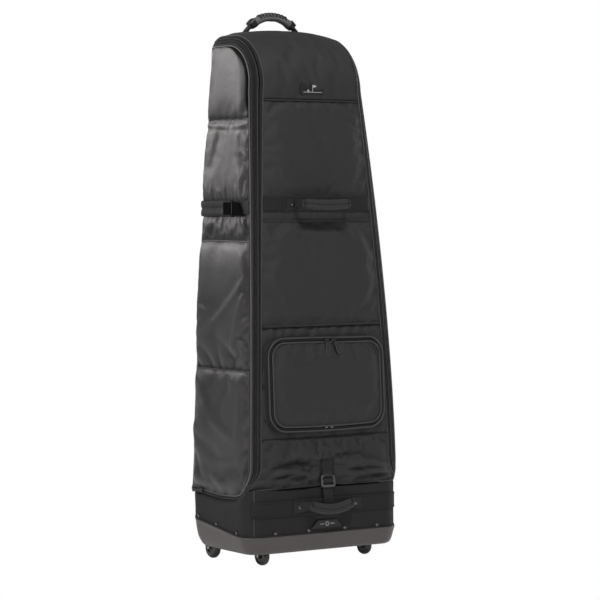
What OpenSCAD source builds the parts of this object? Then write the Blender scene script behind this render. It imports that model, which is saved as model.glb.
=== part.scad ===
// Rolling golf travel case: a moulded base tub on four wheels carries a tall
// soft body with two zipped side doors, a zipped front pocket and three handles.
// Frame: +Z up, Z = 0 at the floor, the front faces -Y, X = 0 on the centre plane.

/* [Body] */
// Height of the top panel above the floor
crown_z = 1286; // [1240:2:1320]
// Half width of the soft body at the base
body_half_w = 214; // [206:1:218]
// How much narrower each side is at the top than at the base
side_taper = 59; // [45:1:65]
// How far the front leans back between base and top
front_lean = 78; // [60:1:90]
// Thickness of the padded fabric panels
pad_thick = 5; // [3:0.5:6]

/* [Base] */
// Half width of the base tub at its rim
tub_half_w = 224; // [222:1:230]
// Height of the tub rim at the front
rim_front = 73; // [68:1:78]
// Height of the tub rim at the back
rim_back = 99; // [92:1:104]
// Ground clearance under the tub
tub_z = 30; // [28:1:32]
// Wall thickness of the tub
tub_wall = 4; // [3:0.5:5]

/* [Wheels] */
// Radius of the fixed rear wheels
rear_r = 26; // [24:1:27]
// Radius of the swivelling front wheels
caster_r = 23; // [21:1:24]
// Trail of the swivelling front wheels
trail = 10; // [6:1:11]
// Radial running clearance of the wheels on their axles
run_gap = 0.06; // [0.02:0.01:0.1]

/* [Pocket] */
// Half width of the pocket opening
pocket_half_w = 162; // [150:1:162]
// Half height of the pocket opening
pocket_half_h = 104; // [90:1:104]
// How far the pocket stands off the front panel
pocket_depth = 15; // [10:1:16]

/* [Handles] */
// Width of a pocket zip pull
pull_w = 12; // [8:0.5:14]
// Rise of the top handle above its anchors
grip_rise = 40; // [36:1:46]
// Standoff of the middle handle grip from the front
mid_standoff = 38; // [30:1:42]

/* [Hidden] */

origin_y = 16.95;  // moves the design so that Y = 0 is the middle of the whole depth
left = -1;
right = 1;
cut_half = 300;    // reach of cutting shapes either side of an axis
cut_y = 250;       // front and back reach of cutting profiles

// Colours shared by several pieces
moulding = "#2b2a2a";
tyre_black = "#1b1b1c";
steel = "#b8b8b8";
rivet_grey = "#8c8780";
board = "#6b5a45";
panel_cloth = "#343233";
trim_cloth = "#3b393a";
zip_black = "#1f1f20";
strap_black = "#1d1d1e";

tub_front = -139;
tub_back = 129;
tub_corner_r = 45;
strap_z = 870;     // height of the middle handle, mid band and side straps

// Rounded corners of the door, seen from the side: centre, door edge and seam radius
foot_y = -60;
foot_z = 235;
foot_r = 66;
foot_seam_r = 73.5;
shoulder_y = 60;
shoulder_z = 1150;
shoulder_r = 105;
shoulder_seam_r = 131;

// Shape of the soft body, as functions of height
taper_z = 165;     // the taper starts here
taper_top_z = 1255;
function rise(z) = max(0, (z - taper_z) / (taper_top_z - taper_z));
function side_x(z) = body_half_w - side_taper * pow(rise(z), 1.5);
function door_y(z) = -128 + 100 * pow(rise(z), 1.7);
function seam_y(z) = -136 + front_lean * pow(rise(z), 1.4);
function seam_x(z) = side_x(z) - 26;
function back_x(z) = body_half_w - side_taper * (z - taper_z) / (taper_top_z - taper_z);
// Front edge of the door with its rounded corners
function door_edge_y(z) =
  z < foot_z ? foot_y - sqrt(max(0, foot_r*foot_r - pow(foot_z - z, 2)))
  : z < shoulder_z ? door_y(z)
  : shoulder_y - sqrt(max(0, shoulder_r*shoulder_r - pow(z - shoulder_z, 2)));

// ---------------------------------------------------------------- helpers
// Rounded rectangle from y0 to y1
function round_rect(half_w, y0, y1, radius) = [for (q = [0:3])
    let (corner_x = (q == 0 || q == 3) ? half_w - radius : radius - half_w,
         corner_y = q < 2 ? y1 - radius : y0 + radius)
    for (i = [0:6])
      let (angle = q*90 + i*15)
      [corner_x + radius*cos(angle), corner_y + radius*sin(angle)]];

// Half outline followed by its mirror image; flip holds the sign of each axis
function mirrored(half, flip = [-1, 1]) = concat(half,
  [for (i = [len(half) - 1:-1:0]) [flip.x*half[i].x, flip.y*half[i].y]]);

module piece(colour) { color(colour) translate([0, origin_y, 0]) children(); }
// Shapes are drawn on the +X side and mirrored for the left
module at_side(side) { if (side > 0) children(); else mirror([1, 0, 0]) children(); }
module slice(half_w, y0, y1, radius, z) {
  translate([0, 0, z]) linear_extrude(0.01) polygon(round_rect(half_w, y0, y1, radius));
}
module ring(half_w, y0, y1, radius, wall, z0, z1) {
  translate([0, 0, z0]) linear_extrude(z1 - z0) difference() {
    polygon(round_rect(half_w, y0, y1, radius));
    polygon(round_rect(half_w - wall, y0 + wall, y1 - wall, radius - wall));
  }
}
// Extrudes a side profile, drawn in Y and Z, across the width
module across(half) { rotate([90, 0, 90]) translate([0, 0, -half]) linear_extrude(2*half) children(); }
// Extrudes a front profile, drawn in X and Z, towards the front from depth y
module outwards(y, depth) { translate([0, y, 0]) rotate([90, 0, 0]) linear_extrude(depth) children(); }
// Thin block at one height, hulled in pairs to follow the taper
module slab(z, x0, x1, y0, y1) { translate([x0, y0, z]) cube([x1 - x0, y1 - y0, 0.2]); }
// Block that keeps only the front of a ring
module front_zone(z, height) { translate([-cut_half, -200, z]) cube([2*cut_half, 88, height]); }

// ---------------------------------------------------------------- base tub
slope_front = -85;   // the rim climbs from here
slope_back = 110;    // to here
skirt_inset = 0.5;   // skirt face inside the tub face
rivet_rise = 9;      // rivets above the rim
rivet_hole_r = 1.7;
caster_x = 158;      // caster swivel axis
caster_y = -83;
rear_x = 188;        // rear wheel centre
rear_y = 81.5;
housing_half_w = 15;
housing_y = 49;
housing_wall = 4;

function rim_z(y) = y < slope_front ? rim_front
  : min(rim_back, rim_front + (y - slope_front)*(rim_back - rim_front)/(slope_back - slope_front));

// Outer shape of the tub, shrunk by inset
module tub_form(inset) {
  hull() {
    slice(tub_half_w - 15 - inset, tub_front + 12 + inset, tub_back - 29 - inset,
      36 - inset, tub_z + inset);
    slice(tub_half_w - 6 - inset, tub_front + 4 + inset, tub_back - 15 - inset,
      42 - inset, tub_z + 12);
    slice(tub_half_w - inset, tub_front + inset, tub_back + 1 - inset,
      tub_corner_r - inset, rim_back + 25);
  }
}
// Everything below the rim line, raised by lift
module under_rim(lift) {
  across(cut_half) polygon([[-cut_y, 0], [-cut_y, rim_front + lift],
    [slope_front, rim_front + lift], [slope_back, rim_back + lift],
    [cut_y, rim_back + lift], [cut_y, 0]]);
}
module base_tub() {
  piece("#4b4644") difference() {
    union() {
      intersection() {
        difference() {
          tub_form(0);
          tub_form(tub_wall);
        }
        under_rim(0);
      }
      // upright flange inside the skirt
      intersection() {
        ring(tub_half_w - 3.5, tub_front + 3.5, tub_back - 3, 42.5, 3, rim_front - 3, 130);
        under_rim(20);
      }
    }
    for (side = [-1, 1]) {
      translate([side*caster_x, caster_y, 0]) cylinder(r = 40, h = tub_z + 20, $fn = 96);
      translate([side*rear_x - housing_half_w - 0.3, housing_y - 1, 0])
        cube([2*housing_half_w + 0.6, 90, 62]);
    }
    rivet_holes();
  }
}

// Rivets through skirt and flange: [x, y, direction, distance, z]
rim_points = concat(
  [for (x = [-149.5, -53, 53, 149.5]) each [
    [x, 0, -90, -tub_front - skirt_inset, rim_front + rivet_rise],
    [x, 0, 90, tub_back, rim_back + rivet_rise]]],
  [for (y = [-81, 10]) for (direction = [0, 180])
    [0, y, direction, tub_half_w - skirt_inset, rim_z(y) + rivet_rise]],
  [for (side = [right, left])
    [side*(tub_half_w - tub_corner_r - skirt_inset), tub_back - tub_corner_r,
     90 - side*68, tub_corner_r, rim_z(101) + rivet_rise]]);
// Z points outwards along the rivet, from its row's origin
module along(point) {
  translate([point[0], point[1], point[4]]) rotate([0, 0, point[2]]) rotate([0, 90, 0]) children();
}
module rivet_holes() {
  for (point = rim_points) along(point)
    translate([0, 0, point[3] - 9]) cylinder(r = rivet_hole_r, h = 12, $fn = 24);
}
module rim_rivets() {
  piece(rivet_grey) for (point = rim_points) along(point) {
    // shank, outer head, inner head
    translate([0, 0, point[3] - 8.6]) cylinder(r = 1.5, h = 8.8, $fn = 24);
    translate([0, 0, point[3] + 0.15]) cylinder(r1 = 3.4, r2 = 2, h = 1.4, $fn = 24);
    translate([0, 0, point[3] - 8.6]) cylinder(r = 3, h = 1, $fn = 24);
  }
}

// ---------------------------------------------------------------- rear wheels
rear_axle_r = 3;
axle_fit = 0.03;     // axle hole clearance in housing and fork
rear_axle_len = 29.2;
tyre_w = 20;
tyre_seat_r = 14;
hub_r = tyre_seat_r - 0.05;
hub_w = 20.6;

module wheel_housing(side) {
  at_side(side) translate([rear_x, 0, 0]) difference() {
    translate([-housing_half_w, housing_y, tub_z + 2]) cube([2*housing_half_w, 68, 28]);
    translate([housing_wall - housing_half_w, housing_y + housing_wall, 0])
      cube([2*(housing_half_w - housing_wall), 100, 56]);
    translate([-20, rear_y, rear_r]) rotate([0, 90, 0])
      cylinder(r = rear_axle_r + axle_fit, h = 40, $fn = 48);
    // relief where the tub back curves forward
    translate([-20, 100, 0]) rotate([-38, 0, 0]) translate([0, 0, -40]) cube([40, 60, 70]);
  }
}
module wheel_housing_left() { piece(moulding) wheel_housing(left); }
module wheel_housing_right() { piece(moulding) wheel_housing(right); }
module rear_axles() {
  piece(steel) for (side = [-1, 1]) translate([side*rear_x - rear_axle_len/2, rear_y, rear_r])
    rotate([0, 90, 0]) cylinder(r = rear_axle_r, h = rear_axle_len, $fn = 48);
}
// Turned ring with its axis along X; the half profile is [radius, axial position]
module turned(half_profile) {
  rotate([0, 90, 0]) rotate_extrude($fn = 72) polygon(mirrored(half_profile, [1, -1]));
}
module at_rear(side) { translate([side*rear_x, rear_y, rear_r]) children(); }
module tyre() {
  turned([[tyre_seat_r, -tyre_w/2], [rear_r - 7, -tyre_w/2], [rear_r - 3, -tyre_w/2 + 2],
    [rear_r - 0.8, -tyre_w/4], [rear_r, -tyre_w/8]]);
}
module hub() {
  bore = rear_axle_r + run_gap;
  rotate([0, 90, 0]) difference() {
    translate([0, 0, -hub_w/2]) cylinder(r = hub_r, h = hub_w, $fn = 64);
    translate([0, 0, -hub_w]) cylinder(r = bore, h = 2*hub_w, $fn = 48);
    // ring recess in each face
    for (face = [-1, 1]) translate([0, 0, face*hub_w/2]) difference() {
      cylinder(r = hub_r - 2.5, h = 5, center = true, $fn = 64);
      cylinder(r = bore + 2.5, h = 6, center = true, $fn = 48);
    }
  }
}
module rear_wheel_left() { piece(tyre_black) at_rear(left) tyre(); }
module rear_wheel_right() { piece(tyre_black) at_rear(right) tyre(); }
module rear_hub_left() { piece("#3a3a3b") at_rear(left) hub(); }
module rear_hub_right() { piece("#3a3a3b") at_rear(right) hub(); }

// ---------------------------------------------------------------- front casters
// swivel is the trail direction: -1 to the front (left caster), 1 to the back (right)
stem_r = 5;
caster_axle_r = 2.5;
caster_axle_len = 27.6;
fork_plate = 3;

module at_caster(side) { translate([side*caster_x, caster_y, 0]) children(); }
module caster_cups() {
  piece(moulding) for (side = [-1, 1]) at_caster(side) rotate_extrude($fn = 96)
    polygon([[37, tub_z + 0.6], [39.5, tub_z + 0.6], [39.5, 60.5], [10, 60.5], [10, 64.5],
      [stem_r + 0.05, 64.5], [stem_r + 0.05, 56.5], [37, 56.5]]);
}
module fork(swivel) {
  axle_y = swivel*trail;
  // crown, shoulder, stem and retaining head
  translate([0, 0, 49]) cylinder(r = 17, h = 3.5, $fn = 64);
  translate([0, 0, 52]) cylinder(r = 9, h = 4, $fn = 48);
  translate([0, 0, 52]) cylinder(r = stem_r, h = 13.2, $fn = 48);
  translate([0, 0, 64.9]) cylinder(r = 6.5, h = 1.6, $fn = 48);
  for (side = [-1, 1]) translate([side*12.5 - fork_plate/2, 0, 0])
    rotate([90, 0, 90]) linear_extrude(fork_plate) difference() {
      union() {
        translate([axle_y, caster_r]) circle(r = 7, $fn = 48);
        polygon([[-15, 50.5], [15, 50.5], [15, 42], [axle_y + 6.8, caster_r - 1],
          [axle_y - 6.8, caster_r - 1], [-15, 42]]);
      }
      translate([axle_y, caster_r]) circle(r = caster_axle_r + axle_fit, $fn = 48);
    }
}
module caster_axle(swivel) {
  translate([-caster_axle_len/2, swivel*trail, caster_r]) rotate([0, 90, 0])
    cylinder(r = caster_axle_r, h = caster_axle_len, $fn = 48);
}
module caster_wheel(swivel) {
  translate([0, swivel*trail, caster_r]) turned([[caster_axle_r + run_gap, -10.4],
    [6, -10.4], [6.5, -8], [caster_r - 8, -8], [caster_r - 6, -10], [caster_r - 3, -8.6],
    [caster_r - 0.8, -5], [caster_r, -2]]);
}
module caster_fork_left() { piece("#232323") at_caster(left) fork(-1); }
module caster_fork_right() { piece("#232323") at_caster(right) fork(1); }
module caster_axle_left() { piece(steel) at_caster(left) caster_axle(-1); }
module caster_axle_right() { piece(steel) at_caster(right) caster_axle(1); }
module caster_wheel_left() { piece(tyre_black) at_caster(left) caster_wheel(-1); }
module caster_wheel_right() { piece(tyre_black) at_caster(right) caster_wheel(1); }

// ---------------------------------------------------------------- inside
module base_board() {
  piece(board) translate([0, 0, 68]) linear_extrude(4) polygon(round_rect(206, -124, 106, 32));
}
module back_stiffener() {
  piece(board) outwards(124.5, 3) polygon(mirrored([[165, 126], [135, 1236]]));
}
module top_foam_pad() {
  piece("#4a4a4a") translate([0, 0, 1240]) linear_extrude(20) polygon(round_rect(122, 6, 118, 20));
}

// ---------------------------------------------------------------- skirt
band_thick = 2.2;
band_y = tub_front - band_thick;   // front face of the skirt band
low_rivet_x = 82;                  // lower handle rivets
low_rivet_z = 140;
mid_rivet_x = 75;                  // middle handle rivets
mid_rivet_z = 869;

module base_skirt() {
  bottom_front = rim_front + 0.6;
  bottom_back = rim_back + 0.6;
  piece(trim_cloth) difference() {
    intersection() {
      ring(tub_half_w - skirt_inset, tub_front + skirt_inset, tub_back, tub_corner_r, 2.5,
        rim_front, 190);
      across(cut_half) polygon([[-cut_y, bottom_front], [slope_front, bottom_front],
        [slope_back, bottom_back], [cut_y, bottom_back],
        [cut_y, 160], [-104, 160], [-112, 188], [-cut_y, 188]]);
    }
    rivet_holes();
    handle_holes();
  }
}
module skirt_band() {
  piece("#363435") difference() {
    intersection() {
      ring(tub_half_w + band_thick, band_y, tub_back, 47.7, band_thick, 120, 158);
      front_zone(100, 80);
    }
    handle_holes();
  }
}
module label_patch() {
  piece("#2c2d2e") outwards(tub_front, 1.6) polygon(mirrored([[46, 85], [28, 104]]));
}
module handle_holes() {
  for (side = [-1, 1]) translate([side*low_rivet_x, -132, low_rivet_z]) rotate([90, 0, 0])
    cylinder(r = 2.2, h = 12, $fn = 24);
}
module rivet_head(distance) {
  translate([0, 0, distance]) cylinder(r1 = 4.4, r2 = 2.8, h = 1.6, $fn = 32);
}
module handle_rivets() {
  piece(rivet_grey) for (side = [-1, 1]) {
    translate([side*low_rivet_x, 0, low_rivet_z]) rotate([90, 0, 0]) {
      translate([0, 0, 134.6]) cylinder(r = 2, h = 6.9, $fn = 24);
      rivet_head(-band_y + 0.15);
    }
    translate([side*mid_rivet_x, 0, mid_rivet_z]) rotate([90, 0, 0])
      rivet_head(-seam_y(mid_rivet_z) + 6.45);
  }
}

// ---------------------------------------------------------------- front and back panels
hood_r = 136;
hood_front_y = shoulder_y - hood_r;

module lower_front_panel() {
  piece(panel_cloth) intersection() {
    ring(body_half_w + 5, -136.5, 150, 42, 4, 190.5, 302);
    front_zone(0, 400);
    outwards(cut_half, 2*cut_half) polygon(mirrored([[191, 180], [186, 235], [184, 302]]));
  }
}
// Padded skin between the front seams, following the lean
module front_skin(z0, z1) {
  zs = [for (i = [0:6]) z0 + (z1 - z0)*i/6];
  zs_down = [for (i = [6:-1:0]) zs[i]];
  intersection() {
    outwards(cut_half, 2*cut_half) polygon(mirrored([for (z = zs) [seam_x(z) - 1, z]]));
    across(cut_half) polygon(concat(
      [for (z = [z0 - 20, each zs, z1 + 20]) [seam_y(z) - 3, z]],
      [for (z = [z1 + 20, each zs_down, z0 - 20]) [seam_y(z) + pad_thick - 3, z]]));
  }
}
module front_panel() { piece(panel_cloth) front_skin(578, 1119); }
module mid_band() {
  piece("#2f2d2e") hull() for (z = [strap_z - 19, strap_z + 19])
    slab(z, 1 - seam_x(z), seam_x(z) - 1, seam_y(z) - 6, seam_y(z) - 3.6);
}
function hood_point(radius, angle) =
  [shoulder_y - radius*cos(angle), crown_z - hood_r + radius*sin(angle)];
module hood_panel() {
  piece(panel_cloth) across(134) polygon(concat(
    [[-75, 1121.5], [hood_front_y, shoulder_z]],
    [for (angle = [6:6:90]) hood_point(hood_r, angle)],
    [[124, crown_z], [124, crown_z - pad_thick]],
    [for (angle = [90:-6:0]) hood_point(hood_r - pad_thick, angle)],
    [[-70, 1121.5]]));
}
module crest_patch() {
  piece("#5b5957") outwards(hood_front_y - 0.8, 1.4) translate([-34, 1136]) square([68, 27]);
}
module back_panel() {
  piece("#2f2e2f") outwards(136, 9)
    polygon(mirrored([[back_x(162) - 9, 162], [back_x(1250) - 9, 1250], [130, 1280]]));
}

// ---------------------------------------------------------------- zips
hood_seam_x = 137.5;
zip_inset = 1.2;     // zip centre inside the door face
function door_point(y, z) = [side_x(z) - zip_inset, y, z];
// Stations along the door opening: [point on the door edge, point on the frame seam]
stations = concat(
  [for (y = [132, 40, foot_y])
    [door_point(y, foot_z - foot_r), [body_half_w - zip_inset, y, foot_z - foot_seam_r]]],
  [for (a = [75:-15:15]) [
    door_point(foot_y - foot_r*cos(a), foot_z - foot_r*sin(a)),
    [body_half_w - 18*cos(a)*cos(a), foot_y - foot_seam_r*cos(a), foot_z - foot_seam_r*sin(a)]]],
  [for (z = [235, 300, 400, 500, 620, 740, 860, 980, 1080, 1148])
    [door_point(door_y(z), z), [seam_x(z) + 1, seam_y(z), z]]],
  [for (a = [15:15:90]) [
    door_point(shoulder_y - shoulder_r*cos(a), shoulder_z + shoulder_r*sin(a)),
    [hood_seam_x, shoulder_y - shoulder_seam_r*cos(a), shoulder_z + shoulder_seam_r*sin(a)]]],
  [[door_point(124, shoulder_z + shoulder_r),
    [hood_seam_x, 122, shoulder_z + shoulder_seam_r]]]);
// Tape between two fractions of the way from door edge to seam
module zip_tape(from, to) {
  for (i = [0:len(stations) - 2]) hull() for (j = [i, i + 1]) for (k = [from, to])
    translate(stations[j][0]*(1 - k) + stations[j][1]*k) sphere(r = 0.9, $fn = 10);
}
module frame_zip(side) { at_side(side) zip_tape(0.62, 0.93); }
module door_zip(side) { at_side(side) zip_tape(0.07, 0.28); }
module frame_zip_left() { piece(zip_black) frame_zip(left); }
module frame_zip_right() { piece(zip_black) frame_zip(right); }
module door_zip_left() { piece(zip_black) door_zip(left); }
module door_zip_right() { piece(zip_black) door_zip(right); }

// ---------------------------------------------------------------- side doors
door_back = 136;
// Heights at which the door's front edge is sampled
door_zs = [171.5, 182, 200, 218, 235, 300, 400, 500, 620, 740, 860, 980, 1080, 1150, 1180,
  1205, 1225, 1240, 1253];
pull_x = body_half_w + 6.5;

module door() {
  intersection() {
    // outline seen from the side
    across(cut_half) polygon(concat([for (z = door_zs) [door_edge_y(z) + 2.5, z]],
      [[door_back, 1253], [door_back, 171.5]]));
    // thin curved wall seen from the front
    outwards(140, 300) polygon(concat([for (z = [160:100:1260]) [side_x(z), z]],
      [for (z = [1260:-100:160]) [side_x(z) - pad_thick - 1, z]]));
  }
}
module door_slider() { translate([body_half_w + 1, 112, 164]) cube([5, 14, 7.5]); }
module door_pull() {
  hull() {
    translate([pull_x, 110, 165]) cube([1.6, 8, 5.5]);
    translate([pull_x, 78, 163.5]) cube([1.6, 6, 8.5]);
  }
}
module side_door_left() { piece("#6a6665") at_side(left) door(); }
module side_door_right() { piece("#6a6665") at_side(right) door(); }
module door_slider_left() { piece("#9a9a98") at_side(left) door_slider(); }
module door_slider_right() { piece("#9a9a98") at_side(right) door_slider(); }
module door_pull_left() { piece("#2a2a2a") at_side(left) door_pull(); }
module door_pull_right() { piece("#2a2a2a") at_side(right) door_pull(); }

// Cinch strap across the door: a thick rear part and thinner webbing in front
module side_strap() {
  hull() for (z = [strap_z - 18, strap_z + 18])
    slab(z, side_x(z) + 0.6, side_x(z) + 4.6, 26, 135);
  hull() for (z = [strap_z - 15, strap_z + 15])
    slab(z, side_x(z) + 0.6, side_x(z) + 2.6, door_y(z) + 4, 30);
}
module strap_tail() {
  low = strap_z - 14;
  high = strap_z + 14;
  inner_x = side_x(low) + 5.2;
  hull() {
    slab(low, inner_x, side_x(low) + 8.2, -52, 30);
    slab(high, inner_x, side_x(high) + 8.2, -40, 30);
  }
}
module side_strap_left() { piece("#3d3b3b") at_side(left) side_strap(); }
module side_strap_right() { piece("#3d3b3b") at_side(right) side_strap(); }
module strap_tail_left() { piece(strap_black) at_side(left) strap_tail(); }
module strap_tail_right() { piece(strap_black) at_side(right) strap_tail(); }

// ---------------------------------------------------------------- front pocket
pocket_z = 435.5;
pocket_y = -124.5;
pocket_tilt = 3.3;
left_slider_x = -1;
right_slider_x = 20;

// Puts a flat shape on the tilted pocket face, with its Z pointing forwards
module on_pocket(offset_z = 0) {
  translate([0, pocket_y, pocket_z]) rotate([90 - pocket_tilt, 0, 0])
    translate([0, 0, offset_z]) children();
}
module pocket_outline(grow) {
  polygon(round_rect(pocket_half_w + grow, -pocket_half_h - grow, pocket_half_h + grow, 36 + grow));
}
module pocket_ring(outer, inner) {
  difference() {
    pocket_outline(outer);
    pocket_outline(inner);
  }
}
module pocket_body() {
  piece(panel_cloth) {
    front_skin(304, 575);
    on_pocket(2) linear_extrude(pocket_depth - 2.5) pocket_ring(8, 4.5);
  }
}
module pocket_zip_frame() {
  piece(zip_black) on_pocket(pocket_depth) linear_extrude(3) pocket_ring(8, 4.2);
}
module pocket_flap() {
  piece(trim_cloth) on_pocket(pocket_depth) linear_extrude(4) pocket_outline(0);
}
module pocket_zip() {
  piece(zip_black) on_pocket(pocket_depth) {
    linear_extrude(3) pocket_ring(3.6, 0.4);
    // two blocks on the bottom run
    for (x = [-12, 4]) translate([x, -pocket_half_h - 3.6, 3]) cube([8, 3.1, 2.4]);
  }
}
module pocket_slider(x) {
  on_pocket() translate([x - 5, pocket_half_h - 4, pocket_depth + 4.6]) cube([10, 11, 4]);
}
// Flat tab hanging from its tapered end, turned by angle
module pocket_pull(x, angle) {
  on_pocket() translate([x, pocket_half_h + 3.2, pocket_depth + 9.2]) rotate([0, 0, angle])
    translate([0, -39.2, 0]) linear_extrude(1.6) union() {
      translate([-pull_w/2, 0]) square([pull_w, 31]);
      polygon(mirrored([[pull_w/2, 30.9], [2.6, 40]]));
    }
}
module pocket_slider_left() { piece("#8f8f8d") pocket_slider(left_slider_x); }
module pocket_slider_right() { piece("#8f8f8d") pocket_slider(right_slider_x); }
module pocket_pull_left() { piece("#2a2a2a") pocket_pull(left_slider_x, 0); }
module pocket_pull_right() { piece("#2a2a2a") pocket_pull(right_slider_x, 20); }

// ---------------------------------------------------------------- buckle strap
module buckle_anchor() {
  piece("#2a2a2b") {
    outwards(-137, 2) translate([-14, 226]) square([28, 22]);
    // webbing loop holding the buckle's top bar
    across(13) difference() {
      polygon([[-146.5, 206.5], [-139, 206.5], [-139, 229], [-141, 229], [-146.5, 216]]);
      polygon([[-145, 208], [-140.6, 208], [-140.6, 213.4], [-145, 213.4]]);
    }
  }
}
module strap_buckle() {
  piece("#7b7a78") outwards(-140.9, 3.6) difference() {
    polygon([[-19, 185], [21, 185], [19, 213], [-20, 213]]);
    translate([-14.5, 200.6]) square([29, 8.2]);
    translate([-14.5, 189.4]) square([30, 7.2]);
  }
}
// Sewn to the skirt, up behind the buckle, over its middle bar, then down as a loose tail
module buckle_webbing() {
  piece("#2a2a2b") across(14) polygon([[-138.5, 162], [-138.5, 172], [-139.1, 176],
    [-139.1, 202.4], [-146.4, 202.4], [-146.4, 141], [-145.2, 141], [-145.2, 201.2],
    [-140.3, 201.2], [-140.3, 162]]);
}

// ---------------------------------------------------------------- handles
mid_hinge_y = seam_y(strap_z) - 8;
mid_grip_y = mid_hinge_y - mid_standoff;
tab_thick = 2.5;

module grip_bar(half_len, y, z, radius) {
  translate([-half_len, y, z]) rotate([0, 90, 0]) cylinder(r = radius, h = 2*half_len, $fn = 32);
}
// One end of a handle's side tab
module tab_end(x, y, z, depth, height) {
  translate([x - tab_thick/2, y, z]) cube([tab_thick, depth, height]);
}
module lower_handle() {
  piece(trim_cloth) {
    for (z = [139, 128]) grip_bar(62, -163.5, z, 6.4);
    for (side = [-1, 1]) hull() {
      tab_end(side*63, -145.8, 145, 1, 3.5);
      tab_end(side*63, -169, 124, 10, 20);
    }
  }
}
module mid_handle() {
  piece(trim_cloth) {
    for (z = [strap_z - 6.5, strap_z + 6.5]) grip_bar(70, mid_grip_y, z, 6.8);
    for (side = [-1, 1]) hull() {
      tab_end(side*68, mid_hinge_y - 2.4, strap_z - 2, 1, 4);
      tab_end(side*68, mid_grip_y, strap_z - 12, 4, 24);
    }
  }
}

// The top handle is an arc of this half span, rising from its ends by grip_rise
grip_half_span = 78;
grip_y = 106;
grip_end_z = crown_z + 6;
arc_r = (grip_half_span*grip_half_span + grip_rise*grip_rise) / (2*grip_rise);
module grip_arc(radius, start, end) {
  translate([0, grip_y, grip_end_z + grip_rise - arc_r]) rotate([90, 0, 0]) rotate([0, 0, start])
    rotate_extrude(angle = end - start, $fn = 120) translate([arc_r, 0])
      circle(r = radius, $fn = 24);
}
module top_handle_grip() {
  piece("#3f3f40") difference() {
    union() {
      grip_arc(10.5, 53, 127);
      // ribs
      for (i = [0:8]) grip_arc(11.8, 60 + i*7 - 1.6, 60 + i*7 + 1.6);
    }
    grip_arc(4.2, 50, 130);
  }
}
module top_handle_strap() { piece(strap_black) grip_arc(3.9, 35, 145); }
module top_handle_anchors() {
  piece(strap_black) for (side = [-1, 1]) translate([side*88, grip_y, crown_z]) {
    translate([-8, -14, 0.3]) cube([16, 28, 2.6]);
    translate([-2, -6, 2.8]) cube([8, 12, 7]);
  }
}

base_tub();
rim_rivets();
wheel_housing_left();
wheel_housing_right();
rear_axles();
rear_wheel_left();
rear_wheel_right();
rear_hub_left();
rear_hub_right();
caster_cups();
caster_fork_left();
caster_fork_right();
caster_axle_left();
caster_axle_right();
caster_wheel_left();
caster_wheel_right();
base_board();
base_skirt();
skirt_band();
label_patch();
handle_rivets();
lower_front_panel();
front_panel();
hood_panel();
mid_band();
crest_patch();
back_panel();
back_stiffener();
top_foam_pad();
frame_zip_left();
frame_zip_right();
pocket_body();
pocket_zip_frame();
pocket_flap();
pocket_zip();
pocket_slider_left();
pocket_slider_right();
pocket_pull_left();
pocket_pull_right();
buckle_anchor();
strap_buckle();
buckle_webbing();
lower_handle();
mid_handle();
top_handle_anchors();
top_handle_grip();
top_handle_strap();
side_door_left();
side_door_right();
door_zip_left();
door_zip_right();
door_slider_left();
door_slider_right();
door_pull_left();
door_pull_right();
side_strap_left();
side_strap_right();
strap_tail_left();
strap_tail_right();
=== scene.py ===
# A tall wheeled travel bag: padded front with a zipped pocket, a door on each side, a hood on top
# and a moulded tub below. It stands on z = 0 with its front towards -Y and its right towards +X.
# Shapes are in millimetres of the design frame; to_metres moves them onto the CAD frame.
import math

import bmesh
import bpy
import numpy as np
from mathutils import Matrix, Vector
from mathutils.kdtree import KDTree


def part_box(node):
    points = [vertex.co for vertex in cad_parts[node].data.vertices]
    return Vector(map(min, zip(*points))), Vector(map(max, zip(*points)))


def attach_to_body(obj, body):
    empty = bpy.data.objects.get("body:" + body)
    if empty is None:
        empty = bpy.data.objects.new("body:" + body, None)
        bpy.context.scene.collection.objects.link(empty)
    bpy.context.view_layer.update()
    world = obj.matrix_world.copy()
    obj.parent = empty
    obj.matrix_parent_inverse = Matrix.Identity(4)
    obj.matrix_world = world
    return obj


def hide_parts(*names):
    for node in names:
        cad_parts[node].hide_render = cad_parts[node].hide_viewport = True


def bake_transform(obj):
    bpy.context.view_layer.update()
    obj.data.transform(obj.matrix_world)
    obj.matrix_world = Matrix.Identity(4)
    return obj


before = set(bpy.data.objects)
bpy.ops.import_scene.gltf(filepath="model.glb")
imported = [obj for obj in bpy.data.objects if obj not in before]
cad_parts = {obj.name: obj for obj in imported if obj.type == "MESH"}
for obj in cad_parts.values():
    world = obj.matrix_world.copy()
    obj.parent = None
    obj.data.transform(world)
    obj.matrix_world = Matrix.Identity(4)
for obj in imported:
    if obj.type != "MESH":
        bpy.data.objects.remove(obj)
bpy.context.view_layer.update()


# ---------------------------------------------------------------- driving dimensions
FRAME_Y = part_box("back_panel")[1].y * 1000 - 136.0  # design y to CAD y
LOW, TOP = 165.0, 1255.0  # heights over which the body tapers
FOOT_HALF, TAPER = 214, 59  # half width at LOW, and what it loses by TOP
BACK_Y = 138  # rear edge of the doors
DOOR_Z = 169  # lowest edge of the doors
TOE_Y, TOE_Z, TOE_R = -60, 235, 66  # lower front corner of a door
BROW_Y, BROW_Z, BROW_R = 60, 1150, 105  # upper front corner of a door
SEAMS_Z = (468.0, 778.0, 1075.0)  # level seams of the sides and the back
STRAP_Z = 859.0  # middle of the side straps
FLAP_Z, FOLD_Z, CROSS_Z, HOOD_Z = 303, 576, 830, 1121  # level seams of the front
TUB_W, TUB_R = 224, 45  # half width and front corner radius of the tub
POCKET_Y, POCKET_Z, POCKET_TILT = -124.5, 435.5, math.radians(3.3)
POCKET_W, POCKET_H, POCKET_R = 158.0, 101.0, 35.0  # half sizes and corner radius
SIDES = (("left", -1), ("right", 1))
FRONT, BACK, UP = (0, -1, 0), (0, 1, 0), (0, 0, 1.0)


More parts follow.
